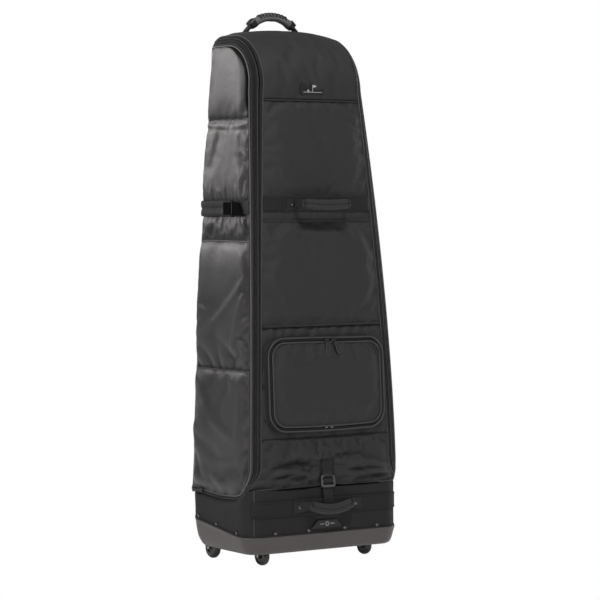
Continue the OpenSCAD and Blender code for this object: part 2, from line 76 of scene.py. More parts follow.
def frame_point(y, z):
    """Metre point on the middle plane, from design millimetres."""
    return (0, (y + FRAME_Y) / 1000, z)


DOOR_BLEND = {side: ("shell", "door_" + side, frame_point(138, 0.7), frame_point(128, 0.7))
              for side, s in SIDES}


# ---------------------------------------------------------------- shape rules
def smooth(a, b, x):
    t = np.clip((np.asarray(x, float) - a) / (b - a), 0, 1)
    return t * t * (3 - 2 * t)


def rise(z):
    return np.maximum(0.0, (np.asarray(z, float) - LOW) / (TOP - LOW))


def half_width(z):
    return FOOT_HALF - TAPER * rise(z) ** 1.5


def chord(z):
    """Half width with a straight taper."""
    return FOOT_HALF - TAPER * (np.asarray(z, float) - LOW) / (TOP - LOW)


def door_front_y(z):
    return -128 + 100 * rise(z) ** 1.7


def front_y(z):
    return -136 + 78 * rise(z) ** 1.4


def front_half(z):
    return half_width(z) - 26


def door_edge_y(z):
    """Front edge of a door with its two rounded corners."""
    z = np.asarray(z, float)
    toe = TOE_Y - np.sqrt(np.maximum(0, TOE_R**2 - (TOE_Z - z) ** 2))
    brow = BROW_Y - np.sqrt(np.maximum(0, BROW_R**2 - (z - BROW_Z) ** 2))
    return np.where(z < TOE_Z, toe, np.where(z < BROW_Z, door_front_y(z), brow))


def wave(y):
    """The lower edge of the side sags a little in the middle and lifts at the back."""
    y = np.asarray(y, float)
    return 7 * smooth(60, 138, y) - 3.5 * np.exp(-((y + 5) / 45.0) ** 2)


def foot_roll(z):
    """The side rolls out a little above its foot and tucks back in before the zip."""
    return 4.0 * smooth(232, 200, z) * smooth(174, 192, z)


def side_x(y, z):
    """Side face of the body with its rounded back corner."""
    y = np.asarray(y, float)
    c = np.clip((y - 112) / 26.0, 0, 1)
    height = np.sin(math.pi * np.clip((np.asarray(z, float) - 170) / 1085.0, 0, 1)) ** 0.6
    full = 5.0 * smooth(30, 104, y) * smooth(138, 120, y) * height
    corner = (half_width(z) - chord(z) + 3.0) * (1 - np.sqrt(1 - c * c * 0.999))
    return half_width(z) + full + foot_roll(z) * smooth(139, 116, y) - corner


def crease(y, z, y0, z0, y1, z1, width, height, bow=0.0):
    """A soft ridge (or furrow) between two points, fading out at both ends."""
    d = np.array([y1 - y0, z1 - z0], float)
    length = math.hypot(*d)
    d /= length
    t = ((y - y0) * d[0] + (z - z0) * d[1]) / length
    off = -(y - y0) * d[1] + (z - z0) * d[0] - bow * 4 * t * (1 - t)
    return height * np.exp(-(off / width) ** 2) * smooth(-0.10, 0.2, t) * smooth(1.10, 0.7, t)


def creases(y, z, table):
    total = np.zeros_like(y)
    for row in table:
        total += crease(y, z, *row)
    return total


# ---------------------------------------------------------------- paths and profiles
def unit(v):
    return v / np.maximum(np.linalg.norm(v, axis=-1, keepdims=True), 1e-9)


def flip_x(points, s):
    """Mirrors points of the right side when s is negative."""
    out = np.array(points, float)
    if s < 0:
        out[..., 0] *= -1
    return out


def resample(path, step):
    """Even steps along the first three columns; further columns follow."""
    path = np.asarray(path, float)
    d = np.r_[0, np.cumsum(np.linalg.norm(np.diff(path[:, :3], axis=0), axis=1))]
    s = np.linspace(0, d[-1], max(2, int(round(d[-1] / step)) + 1))
    return np.stack([np.interp(s, d, path[:, k]) for k in range(path.shape[1])], 1)


def soften(path, rounds):
    for _ in range(rounds):
        path[1:-1] = (path[:-2] + 2 * path[1:-1] + path[2:]) / 4
    return path


def close(path):
    return np.concatenate([path, path[:1]])


def tangents(path, closed=False):
    if closed:
        t = np.roll(path, -1, 0) - np.roll(path, 1, 0)
    else:
        t = np.gradient(path, axis=0)
    return t / np.maximum(np.linalg.norm(t, axis=1, keepdims=True), 1e-9)


def rrect(w, h, r, n=3):
    """Rounded-rectangle profile, centred."""
    out = []
    for cx, cy, a0 in ((w / 2 - r, h / 2 - r, 0), (-w / 2 + r, h / 2 - r, 90),
                       (-w / 2 + r, -h / 2 + r, 180), (w / 2 - r, -h / 2 + r, 270)):
        for k in range(n + 1):
            a = math.radians(a0 + 90 * k / n)
            out.append((cx + r * math.cos(a), cy + r * math.sin(a)))
    return np.array(out)


def circle(r, n):
    a = np.linspace(0, 2 * math.pi, n, endpoint=False)
    return np.stack([r * np.cos(a), r * np.sin(a)], 1)


# ---------------------------------------------------------------- mesh helpers
def to_metres(points):
    points = np.asarray(points, float).reshape(-1, 3)
    return (points + np.array([0, FRAME_Y, 0])) / 1000.0


def attach(obj, body):
    """body is the name of a body to ride, or a tuple for a blend between two bodies, which is not
    made: the object only has its transform baked.
    """
    if isinstance(body, tuple):
        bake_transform(obj)
    elif body:
        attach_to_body(obj, body)


def stands_for(obj, slot, *nodes):
    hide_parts(*nodes)


def shade_smooth(mesh, sharp=None):
    mesh.polygons.foreach_set("use_smooth", [True] * len(mesh.polygons))
    if sharp is not None:
        mesh.set_sharp_from_angle(angle=math.radians(sharp))


def make_object(name, verts, faces, mat, uvs=None, sharp=None):
    """verts in mm; uvs one (u, v) in metres for each vertex."""
    mesh = bpy.data.meshes.new(name)
    mesh.from_pydata(to_metres(verts).tolist(), [], [list(map(int, f)) for f in faces])
    mesh.validate()
    if uvs is not None:
        layer = mesh.uv_layers.new(name="UVMap")
        index = np.zeros(len(mesh.loops), np.int32)
        mesh.loops.foreach_get("vertex_index", index)
        uv = np.asarray(uvs, float)[index]
        layer.data.foreach_set("uv", uv.astype(np.float32).ravel())
    obj = bpy.data.objects.new(name, mesh)
    bpy.context.scene.collection.objects.link(obj)
    if mat:
        mesh.materials.append(M[mat])
    shade_smooth(mesh, sharp)
    return obj


def grid_faces(rows, cols, first=0, flip=False, wrap=False):
    faces = []
    width = cols if wrap else cols + 1
    for j in range(rows):
        for i in range(cols):
            a = first + j * width + i
            b = first + j * width + (i + 1) % width if wrap else a + 1
            c, d = b + width, a + width
            faces.append((a, d, c, b) if flip else (a, b, c, d))
    return faces


def grid_normals(grid, wrap=False):
    if wrap:
        du = np.roll(grid, -1, 1) - np.roll(grid, 1, 1)
    else:
        du = np.gradient(grid, axis=1)
    n = np.cross(du, np.gradient(grid, axis=0))
    return n / np.maximum(np.linalg.norm(n, axis=2, keepdims=True), 1e-9)


def grid_uv(grid):
    """Lengths along the cloth in metres, u measured from the middle column."""
    du = np.linalg.norm(np.diff(grid, axis=1), axis=2)
    dv = np.linalg.norm(np.diff(grid, axis=0), axis=2)
    u = np.concatenate([np.zeros((grid.shape[0], 1)), np.cumsum(du, 1)], 1)
    u = u - u[:, u.shape[1] // 2][:, None]
    v = np.concatenate([np.zeros((1, grid.shape[1])), np.cumsum(dv, 0)], 0)
    v = np.repeat(v.mean(1)[:, None], grid.shape[1], 1)
    return np.stack([u, v], 2).reshape(-1, 2) / 1000.0


def cavities(grid, normals, facing, strength):
    """How deep each point lies in a valley of the cloth, 0 to 0.5; it sets the painted shadow in
    that valley.
    """
    level = grid.copy()
    for _ in range(3):
        mean = level.copy()
        mean[1:-1, 1:-1] = (level[:-2, 1:-1] + level[2:, 1:-1]
                            + level[1:-1, :-2] + level[1:-1, 2:]) / 4
        level = mean
    cav = np.sum((level - grid) * normals, 2) * facing
    cav[:2] = cav[-2:] = 0
    cav[:, :2] = cav[:, -2:] = 0
    return np.clip(cav * strength, 0, 0.5)


def shell(name, grid, thick, mat, outward, body=None, wrap=False, subdivide=False, shade=None,
          cavity=0.0):
    """A closed sheet: grid (rows, cols, 3) is its outer face, thick its depth inwards.
    shade (rows, cols) is painted shade that darkens the cloth; cavity adds painted shadow in its
    valleys."""
    normals = grid_normals(grid, wrap)
    facing = 1.0 if float(np.sum(normals * np.asarray(outward))) > 0 else -1.0
    rows, width = grid.shape[0] - 1, grid.shape[1]
    cols = width - (0 if wrap else 1)
    count = grid.shape[0] * width
    verts = np.concatenate([grid.reshape(-1, 3),
                            (grid - normals * facing * float(thick)).reshape(-1, 3)])
    faces = (grid_faces(rows, cols, 0, facing < 0, wrap)
             + grid_faces(rows, cols, count, facing > 0, wrap))

    def strip(ring):
        return [(q, p, p + count, q + count) for p, q in zip(ring, ring[1:] + ring[:1])]

    if wrap:
        last = [rows * width + i for i in range(width)]
        edge = strip(list(range(width))) + [f[::-1] for f in strip(last)]
    else:
        edge = strip(list(range(width))
                     + [j * width + width - 1 for j in range(1, rows + 1)]
                     + [rows * width + i for i in range(width - 2, -1, -1)]
                     + [j * width for j in range(rows - 1, 0, -1)])
    if facing < 0:
        edge = [f[::-1] for f in edge]
    uv = grid_uv(grid)
    obj = make_object(name, verts, faces + edge, mat, np.concatenate([uv, uv]))
    if cavity > 0:
        cav = cavities(grid, normals, facing, cavity)
        shade = cav if shade is None else np.clip(shade + cav * (1 - shade), 0, 1)
    if shade is not None:
        layer = obj.data.attributes.new("shade", "FLOAT", "POINT")
        both = np.concatenate([shade.ravel(), shade.ravel()])
        layer.data.foreach_set("value", both.astype(np.float32))
    if subdivide:
        mod = obj.modifiers.new("s", "SUBSURF")
        mod.levels = mod.render_levels = 1
    attach(obj, body)
    return obj


def sweep(name, path, normals, profile, mat, body=None, closed=False, scale=None, sharp=40):
    """Sweeps a closed 2-D profile (first axis across, second along the normal) down a path.
    The profile may be one for each station; scale is a pair for each station."""
    path = np.asarray(path, float)
    count = len(path)
    along = tangents(path, closed)
    normals = np.asarray(normals, float)
    normals = unit(normals - along * np.sum(normals * along, 1, keepdims=True))
    across = np.cross(along, normals)
    prof = np.asarray(profile, float)
    if prof.ndim == 2:
        prof = np.repeat(prof[None], count, 0)
    if scale is not None:
        prof = prof * np.asarray(scale, float)[:, None, :]
    m = prof.shape[1]
    verts = (path[:, None, :] + across[:, None, :] * prof[..., :1]
             + normals[:, None, :] * prof[..., 1:2])
    area = np.sum(prof[0, :, 0] * np.roll(prof[0, :, 1], -1)
                  - np.roll(prof[0, :, 0], -1) * prof[0, :, 1])
    faces = []
    for j in range(count if closed else count - 1):
        j2 = (j + 1) % count
        for i in range(m):
            i2 = (i + 1) % m
            faces.append((j * m + i, j2 * m + i, j2 * m + i2, j * m + i2))
    if not closed:
        faces.append(tuple(range(m)))
        faces.append(tuple((count - 1) * m + i for i in range(m))[::-1])
    if area > 0:
        faces = [f[::-1] for f in faces]
    s = np.r_[0, np.cumsum(np.linalg.norm(np.diff(path, axis=0), axis=1))]
    girth = np.r_[0, np.cumsum(np.linalg.norm(np.diff(prof[0], axis=0), axis=1))]
    uv = np.stack([np.repeat(girth[None], count, 0), np.repeat(s[:, None], m, 1)], 2)
    obj = make_object(name, verts.reshape(-1, 3), faces, mat, uv.reshape(-1, 2) / 1000, sharp)
    attach(obj, body)
    return obj


def rods(name, length, r, places, x_axes, y_axes, z_axes, mat, body):
    """One mesh of small round-ended rods, each lying along the x axis of its own frame."""
    n = 5
    stations = [(-length / 2, 0.02), (-length / 2 + 0.3 * r, 0.75), (-length / 2 + r, 1.0),
                (length / 2 - r, 1.0), (length / 2 - 0.3 * r, 0.75), (length / 2, 0.02)]
    rod, rod_faces = [], []
    for x, s in stations:
        for i in range(n):
            a = 2 * math.pi * i / n
            rod.append((x, r * s * math.cos(a), r * s * math.sin(a)))
    for j in range(len(stations) - 1):
        for i in range(n):
            i2 = (i + 1) % n
            rod_faces.append((j * n + i, (j + 1) * n + i, (j + 1) * n + i2, j * n + i2))
    rod_faces.append(tuple(range(n))[::-1])
    rod_faces.append(tuple((len(stations) - 1) * n + i for i in range(n)))
    rod = np.asarray(rod, float)
    verts = (places[:, None, :] + rod[None, :, :1] * x_axes[:, None, :]
             + rod[None, :, 1:2] * y_axes[:, None, :] + rod[None, :, 2:] * z_axes[:, None, :])
    faces = [tuple(i + j * len(rod) for i in f) for j in range(len(places)) for f in rod_faces]
    uv = np.repeat(rod[None, :, :2], len(places), 0).reshape(-1, 2) / 1000
    attach(make_object(name, verts.reshape(-1, 3), faces, mat, uv), body)


def stitches(name, path, normals, body, mat="thread", pitch=4.2, length=2.7):
    """A row of thread stitches lying on a path; normals may be one direction for all."""
    both = np.concatenate([path, np.broadcast_to(np.asarray(normals, float), path.shape)], 1)
    both = resample(both, pitch)
    points, out = both[:, :3], unit(both[:, 3:6])
    along = tangents(points)
    rods(name, length, 0.42, points + out * 0.25, along, unit(np.cross(out, along)), out, mat, body)


def plate(name, outline, y, thick, mat, bevel=0.6):
    """Flat bevelled plate facing -Y, outline in (x, z), riding the shell."""
    outline = np.asarray(outline, float)
    n = len(outline)
    c = outline.mean(0)
    top = c + (outline - c) * (1 - bevel / np.abs(outline - c).max())
    verts = np.concatenate([np.stack([q[:, 0], np.full(n, level), q[:, 1]], 1) for q, level in
                            ((outline, y), (outline, y - thick + bevel), (top, y - thick))])
    area = np.sum(outline[:, 0] * np.roll(outline[:, 1], -1)
                  - np.roll(outline[:, 0], -1) * outline[:, 1])
    faces = [(j * n + i, j * n + (i + 1) % n, (j + 1) * n + (i + 1) % n, (j + 1) * n + i)
             for j in range(2) for i in range(n)]
    faces += [tuple(range(2 * n, 3 * n)), tuple(range(n))[::-1]]
    if area <= 0:
        faces = [f[::-1] for f in faces]
    uv = np.stack([verts[:, 0], verts[:, 2]], 1) / 1000
    obj = make_object(name, verts, faces, mat, uv, 30)
    attach(obj, "shell")
    return obj


def webbing(name, points, width, thick, mat, body, across=(1, 0, 0)):
    """Flat webbing running in a plane perpendicular to across."""
    path = soften(resample(np.array(points, float), 2.5), 2)
    normals = unit(np.cross(tangents(path), np.array(across, float)[None]))
    return sweep(name, path, normals, rrect(width, thick, min(thick, width) * 0.42, 2), mat, body)


def join(objs, name):
    bpy.ops.object.select_all(action="DESELECT")
    for obj in objs:
        obj.select_set(True)
    bpy.context.view_layer.objects.active = objs[0]
    bpy.ops.object.join()
    objs[0].name = name
    objs[0].data.name = name
    return objs[0]


def bake(obj):
    """Applies the modifiers."""
    graph = bpy.context.evaluated_depsgraph_get()
    mesh = bpy.data.meshes.new_from_object(obj.evaluated_get(graph), depsgraph=graph)
    obj.modifiers.clear()
    obj.data = mesh


def solid(name, bm):
    mesh = bpy.data.meshes.new(name)
    bm.to_mesh(mesh)
    bm.free()
    obj = bpy.data.objects.new(name, mesh)
    bpy.context.scene.collection.objects.link(obj)
    return obj


def prism(name, outline, x, half):
    """Extrudes a (y, z) outline in metres to both sides of x."""
    bm = bmesh.new()
    a = [bm.verts.new((x - half, y, z)) for y, z in outline]
    b = [bm.verts.new((x + half, y, z)) for y, z in outline]
    n = len(outline)
    bm.faces.new(a[::-1])
    bm.faces.new(b)
    for i in range(n):
        bm.faces.new((a[i], a[(i + 1) % n], b[(i + 1) % n], b[i]))
    bmesh.ops.recalc_face_normals(bm, faces=bm.faces)
    return solid(name, bm)


def cut(obj, cutters):
    for cutter in cutters:
        mod = obj.modifiers.new("b", "BOOLEAN")
        mod.operation = "DIFFERENCE"
        mod.solver = "EXACT"
        mod.object = cutter
    bake(obj)
    for cutter in cutters:
        mesh = cutter.data
        bpy.data.objects.remove(cutter)
        bpy.data.meshes.remove(mesh)


# ---------------------------------------------------------------- cloth
def edge_pins(grid):
    pin = np.zeros(grid.shape[:2])
    pin[0] = pin[-1] = 1
    pin[:, 0] = pin[:, -1] = 1
    return pin


def relax(grid, pin, *, pressure, grow, frames, bend, stiff, cap, outward, noise, seed, mass=0.25):
    """Cloth simulation of an open sheet whose pinned points stay put. grow is how much bigger
    the cloth is than its frame, noise the first unevenness and cap the longest move, in mm."""
    rows, cols = grid.shape[:2]
    rng = np.random.default_rng(seed)
    normals = grid_normals(grid)
    bump = rng.normal(0, noise, (rows, cols))
    for _ in range(3):
        bump = (bump + np.roll(bump, 1, 0) + np.roll(bump, -1, 0)
                + np.roll(bump, 1, 1) + np.roll(bump, -1, 1)) / 5
    start = grid + normals * (bump * (1 - pin))[..., None]
    obj = make_object("sim", start.reshape(-1, 3), grid_faces(rows - 1, cols - 1), None)
    facing = 1.0
    if outward is not None and float(np.sum(normals * np.asarray(outward, float))) < 0:
        facing = -1.0
    group = obj.vertex_groups.new(name="pin")
    weights = pin.reshape(-1)
    for level in np.unique(np.round(weights, 2)):
        if level > 0:
            near = np.where(np.abs(weights - level) < 0.006)[0]
            group.add([int(i) for i in near], float(level), "REPLACE")
    cloth = obj.modifiers.new("c", "CLOTH")
    for key, value in dict(
            quality=5, mass=mass, tension_stiffness=stiff, compression_stiffness=stiff * 0.6,
            shear_stiffness=stiff * 0.4, bending_stiffness=bend, tension_damping=8,
            compression_damping=8, shear_damping=6, bending_damping=1.0, air_damping=4,
            vertex_group_mass="pin", shrink_min=-grow, shrink_max=-grow, use_pressure=True,
            uniform_pressure_force=pressure * facing).items():
        setattr(cloth.settings, key, value)
    cloth.settings.effector_weights.gravity = 0.0
    cloth.collision_settings.use_collision = False
    cloth.collision_settings.use_self_collision = False
    cloth.point_cache.frame_start = 1
    cloth.point_cache.frame_end = frames
    scene = bpy.context.scene
    scene.frame_start = 1
    scene.frame_end = frames
    for f in range(1, frames + 1):
        scene.frame_set(f)
    done = obj.evaluated_get(bpy.context.evaluated_depsgraph_get())
    flat = np.zeros(rows * cols * 3, np.float32)
    done.data.vertices.foreach_get("co", flat)
    result = flat.reshape(rows, cols, 3).astype(float) * 1000 - np.array([0, FRAME_Y, 0])
    mesh = obj.data
    bpy.data.objects.remove(obj)
    bpy.data.meshes.remove(mesh)
    scene.frame_set(1)
    if not np.isfinite(result).all():
        return grid
    move = result - grid
    length = np.linalg.norm(move, axis=2, keepdims=True)
    return grid + move * np.minimum(1, cap / np.maximum(length, 1e-9))


# ---------------------------------------------------------------- materials
class Shader:
    """A material with one Principled shader, and short calls for its nodes."""

    def __init__(self, name):
        self.material = bpy.data.materials.new(name)
        self.material.use_nodes = True
        self.tree = self.material.node_tree
        self.tree.nodes.clear()
        self.output = self.node("ShaderNodeOutputMaterial")
        self.bsdf = self.node("ShaderNodeBsdfPrincipled")
        self.link(self.bsdf.outputs[0], self.output.inputs[0])

    def node(self, kind, **settings):
        node = self.tree.nodes.new(kind)
        for key, value in settings.items():
            setattr(node, key, value)
        return node

    def link(self, a, b):
        self.tree.links.new(a, b)

    def feed(self, socket, value):
        if isinstance(value, bpy.types.NodeSocket):
            self.link(value, socket)
        else:
            socket.default_value = value

    def coords(self):
        return self.node("ShaderNodeTexCoord").outputs["Object"]

    def math(self, op, *values, clamp=False):
        node = self.node("ShaderNodeMath", operation=op, use_clamp=clamp)
        for socket, value in zip(node.inputs, values):
            self.feed(socket, value)
        return node.outputs[0]

    def vary(self, fac, amount, base, clamp=False):
        """base plus amount times how far fac lies from a half."""
        return self.math("MULTIPLY_ADD", self.math("SUBTRACT", fac, 0.5), amount, base,
                         clamp=clamp)

    def noise(self, vector, scale, detail=3, rough=0.55, distort=0.0):
        node = self.node("ShaderNodeTexNoise")
        for key, value in (("Scale", scale), ("Detail", detail), ("Roughness", rough),
                           ("Distortion", distort), ("Vector", vector)):
            self.feed(node.inputs[key], value)
        return node.outputs["Fac"]

    def stretch(self, vector, scale):
        node = self.node("ShaderNodeMapping")
        node.inputs["Scale"].default_value = scale
        self.link(vector, node.inputs[0])
        return node.outputs[0]

    def ramp(self, fac, *stops):
        node = self.node("ShaderNodeValToRGB")
        elements = node.color_ramp.elements
        while len(elements) < len(stops):
            elements.new(0.5)
        for element, (place, color) in zip(elements, stops):
            element.position = place
            element.color = (*color, 1)
        self.link(fac, node.inputs[0])
        return node.outputs[0]

    def mix(self, fac, a, b, mode="MIX"):
        node = self.node("ShaderNodeMix", data_type="RGBA", blend_type=mode)
        for index, value in ((0, fac), (6, a), (7, b)):
            self.feed(node.inputs[index], (*value, 1) if isinstance(value, tuple) else value)
        return node.outputs[2]

    def bump(self, height, strength, distance, normal=None):
        node = self.node("ShaderNodeBump")
        node.inputs["Strength"].default_value = strength
        node.inputs["Distance"].default_value = distance
        self.link(height, node.inputs["Height"])
        if normal is not None:
            self.link(normal, node.inputs["Normal"])
        return node.outputs[0]

    def set(self, **values):
        for key, value in values.items():
            self.feed(self.bsdf.inputs[key.replace("_", " ")], value)


def weave_height(m, uv, pitch, kind):
    """Thread relief, 0 to 1, from UVs in metres."""
    split = m.node("ShaderNodeSeparateXYZ")
    m.link(uv, split.inputs[0])
    u, v = split.outputs[0], split.outputs[1]
    rate = 2 * math.pi / (pitch / 1000.0)
    if kind == "twill":
        diagonal = m.math("MULTIPLY", m.math("ADD", u, v), rate * 0.7)
        return m.math("MULTIPLY_ADD", m.math("SINE", diagonal), 0.5, 0.5)
    warp = m.math("SINE", m.math("MULTIPLY", u, rate))
    weft = m.math("SINE", m.math("MULTIPLY", v, rate))
    if kind == "basket":
        return m.math("MULTIPLY_ADD", m.math("MULTIPLY", warp, weft), 0.5, 0.5)
    if kind == "ribs":
        both = m.math("ADD", m.math("MULTIPLY", warp, 0.75), m.math("MULTIPLY", weft, 0.25))
        return m.math("MULTIPLY_ADD", both, 0.5, 0.5)
    # ripstop: fine plain weave with a raised square grid every 5 mm
    lines = [m.math("POWER", m.math("ABSOLUTE", m.math("SINE", m.math(
        "MULTIPLY", axis, math.pi / 0.005))), 30) for axis in (u, v)]
    plain = m.math("MULTIPLY_ADD", m.math("MULTIPLY", warp, weft), 0.25, 0.35)
    return m.math("ADD", plain, m.math("MULTIPLY", m.math("MAXIMUM", *lines), 0.35), clamp=True)


def fabric(name, color, pitch, weave, rough, sheen, mottle, spec=0.35, crinkle=0.0, kind="basket"):
    """Woven cloth: thread relief, slub colour variation, dust mottle, sheen, and painted shade from
    the shade attribute.
    """
    m = Shader(name)
    uv = m.node("ShaderNodeUVMap").outputs[0]
    place = m.coords()
    height = weave_height(m, uv, pitch, kind)
    fibre = m.noise(uv, 2600, detail=2, rough=0.7)
    blotch = m.noise(place, 9, detail=4, rough=0.6)
    dust = m.noise(place, 60, rough=0.6)
    dark = tuple(x * 0.7 for x in color)
    light = tuple(min(1, x * 1.25 + 0.004) for x in color)
    threads = m.ramp(height, (0.15, dark), (0.55, color), (1.0, light))
    slub = m.mix(m.math("MULTIPLY", fibre, 0.35), threads, dark)
    patchy = m.vary(dust, mottle * 0.8, m.vary(blotch, mottle * 2.2, 1.0))
    grey = m.node("ShaderNodeCombineColor")
    for i in range(3):
        m.link(patchy, grey.inputs[i])
    base = m.mix(1.0, slub, grey.outputs[0], "MULTIPLY")
    # painted shade: the shade attribute darkens the colour towards black and dims sheen and
    # specular
    shade = m.node("ShaderNodeAttribute", attribute_name="shade").outputs["Fac"]
    lit = m.math("SUBTRACT", 1.0, shade, clamp=True)
    base = m.mix(shade, base, (0.0015, 0.0015, 0.0015))
    relief = m.math("ADD", m.math("MULTIPLY", height, 0.8), m.math("MULTIPLY", fibre, 0.35))
    normal = m.bump(relief, weave, 0.0004)
    if crinkle:
        folds = m.noise(place, 70, detail=4, rough=0.65, distort=0.6)
        normal = m.bump(folds, crinkle, 0.0012, normal)
    m.set(Base_Color=base, Roughness=m.vary(blotch, 0.25, rough, clamp=True), Normal=normal,
          Sheen_Weight=m.math("MULTIPLY", lit, sheen), Sheen_Roughness=0.4,
          Sheen_Tint=(0.8, 0.8, 0.82, 1), Specular_IOR_Level=m.math("MULTIPLY", lit, spec))
    return m.material


def plastic(name, color, rough, grain, grain_scale, wear, spec=0.5, coat=0.0, mottle=0.08):
    """Moulded plastic or rubber: stippled grain, faint scuffs and flow variation."""
    m = Shader(name)
    place = m.coords()
    fine = m.noise(place, grain_scale, rough=0.6)
    cells = m.node("ShaderNodeTexVoronoi")
    cells.inputs["Scale"].default_value = grain_scale * 0.6
    m.link(place, cells.inputs["Vector"])
    flow = m.noise(place, 12, detail=4, rough=0.6, distort=0.3)
    scuff = m.noise(m.stretch(place, (40, 40, 260)), 5, detail=4, rough=0.7, distort=0.4)
    scuff = m.math("GREATER_THAN", scuff, 0.68)
    light = tuple(min(1, c * (1 + mottle * 2)) for c in color)
    dark = tuple(c * (1 - mottle * 2) for c in color)
    base = m.ramp(flow, (0.3, dark), (0.5, color), (0.7, light))
    worn = m.mix(m.math("MULTIPLY", scuff, wear), base,
                 tuple(min(1, c * 1.8 + 0.02) for c in color))
    height = m.math("ADD", m.math("MULTIPLY", fine, 0.6),
                    m.math("MULTIPLY", cells.outputs["Distance"], 0.5))
    normal = m.bump(height, grain, 0.0003)
    roughness = m.math("ADD", m.vary(flow, 0.3, rough), m.math("MULTIPLY", fine, 0.08), clamp=True)
    m.set(Base_Color=worn, Roughness=roughness, Normal=normal, Specular_IOR_Level=spec,
          Coat_Weight=coat, Coat_Roughness=0.3)
    return m.material


def metal(name, color, rough, brushed):
    m = Shader(name)
    place = m.coords()
    brush = m.noise(m.stretch(place, (900, 60, 60)), 3, rough=0.6)
    stain = m.noise(place, 120, rough=0.6)
    base = m.ramp(stain, (0.3, tuple(c * 0.75 for c in color)), (0.7, color))
    m.set(Base_Color=base, Metallic=0.9, Roughness=m.vary(stain, 0.3, rough, clamp=True),
          Normal=m.bump(brush, brushed, 0.0002))
    return m.material


# name, colour, thread pitch (mm), weave relief, roughness, sheen, mottle,
# then where they differ from the usual: specular, crinkle relief, kind of weave
FABRICS = {
    "front": ("cloth_front", (0.0200, 0.0188, 0.0194), 1.6, 0.8, 0.60, 0.10, 0.22, 0.4, 0.55),
    "side": ("cloth_side", (0.0260, 0.0240, 0.0240), 0.9, 0.3, 0.36, 0.10, 0.12, 0.5, 0.35,
             "ripstop"),
    # skirt: the front cloth at half brightness, as painted shade
    "skirt": ("cloth_skirt", (0.0100, 0.0094, 0.0097), 1.6, 0.8, 0.62, 0.08, 0.22, 0.32, 0.6),
    "lining": ("cloth_lining", (0.02, 0.02, 0.021), 0.8, 0.3, 0.6, 0.1, 0.1, 0.35, 0, "twill"),
    "band": ("cloth_band", (0.0085, 0.0081, 0.0084), 1.2, 0.6, 0.72, 0.08, 0.1, 0.35, 0, "ribs"),
    "web": ("webbing", (0.0115, 0.0115, 0.012), 1.5, 0.9, 0.66, 0.1, 0.12, 0.35, 0, "ribs"),
    # webgrey: the front cloth made a little lighter on the padded grips, as painted light
    "grip_cloth_painted_lighter": ("webbing_padded", (0.024, 0.023, 0.0235), 1.3, 0.5, 0.58, 0.14, 0.12),
    "sleeve": ("cloth_sleeve", (0.0105, 0.010, 0.010), 1.3, 0.5, 0.6, 0.08, 0.16, 0.25, 0.5),
    "tape": ("zip_tape", (0.0090, 0.0088, 0.0090), 1.0, 0.6, 0.74, 0.04, 0.12, 0.25, 0, "twill"),
    "piping": ("piping", (0.020, 0.019, 0.0195), 0.9, 0.4, 0.46, 0.15, 0.1),
    # piping_m and piping_l: brighter copies of the piping, as painted highlight on cords that catch
    # the light
    "piping_m": ("piping_mid", (0.052, 0.049, 0.049), 0.9, 0.4, 0.42, 0.2, 0.12),
    "piping_l": ("piping_light", (0.105, 0.099, 0.098), 0.9, 0.4, 0.40, 0.25, 0.12),
    "thread": ("thread", (0.020, 0.020, 0.0205), 0.5, 0.5, 0.55, 0.1, 0.1, 0.35, 0, "twill"),
    "thread_l": ("thread_light", (0.09, 0.088, 0.085), 0.5, 0.5, 0.6, 0.2, 0.1, 0.35, 0, "twill"),
    "hook": ("hook_loop", (0.0022, 0.0022, 0.0022), 0.8, 1.0, 0.95, 0.0, 0.25, 0.06, 1.0),
    "foam": ("foam_knit", (0.03, 0.03, 0.031), 2.2, 0.7, 0.9, 0.2, 0.1),
    # gap: a near-black sheet laid where there is only shade, as painted shadow in grooves and under
    # edges
    "gap": ("gap_dark", (0.002, 0.002, 0.002), 1.0, 0.2, 0.98, 0.0, 0.1, 0.05),
}
# name, colour, roughness, grain relief, grain scale, wear, then specular, coat, mottle
PLASTICS = {
    "coil": ("zip_coil", (0.012, 0.012, 0.0125), 0.32, 0.1, 1500, 0.05),
    "tub": ("tub_plastic", (0.064, 0.0560, 0.0530), 0.34, 0.35, 700, 0.05, 0.5, 0, 0.05),
    "black": ("black_plastic", (0.010, 0.010, 0.0102), 0.34, 0.3, 900, 0.08),
    "tread": ("tread_rubber", (0.0085, 0.0085, 0.009), 0.30, 0.35, 500, 0.15, 0.6, 0, 0.12),
    "grip": ("grip_rubber", (0.125, 0.121, 0.120), 0.27, 0.4, 1100, 0.10, 0.6, 0, 0.1),
    "pull": ("pull_rubber", (0.016, 0.016, 0.0165), 0.45, 0.4, 1200, 0.1),
    "pull_rim": ("pull_rim", (0.04, 0.04, 0.041), 0.45, 0.3, 1200, 0.1),
    "buckle": ("buckle_plastic", (0.070, 0.068, 0.066), 0.30, 0.2, 1400, 0.15, 0.5, 0.1),
    "board": ("board_plastic", (0.05, 0.048, 0.045), 0.6, 0.5, 400, 0.2),
    "badge": ("badge_rubber", (0.014, 0.015, 0.0155), 0.5, 0.5, 1300, 0.05),
    "mark": ("mark_ink", (0.40, 0.40, 0.40), 0.4, 0.1, 900, 0.02, 0.5, 0, 0.04),
}
# name, colour, roughness, brushed relief
METALS = {
    "rivet": ("rivet_metal", (0.15, 0.145, 0.14), 0.12, 0.05),
    "slider": ("slider_metal", (0.085, 0.085, 0.087), 0.32, 0.2),
    "steel": ("axle_steel", (0.55, 0.55, 0.56), 0.25, 0.4),
}
M = {key: make(*row)
     for make, table in ((fabric, FABRICS), (plastic, PLASTICS), (metal, METALS))
     for key, row in table.items()}


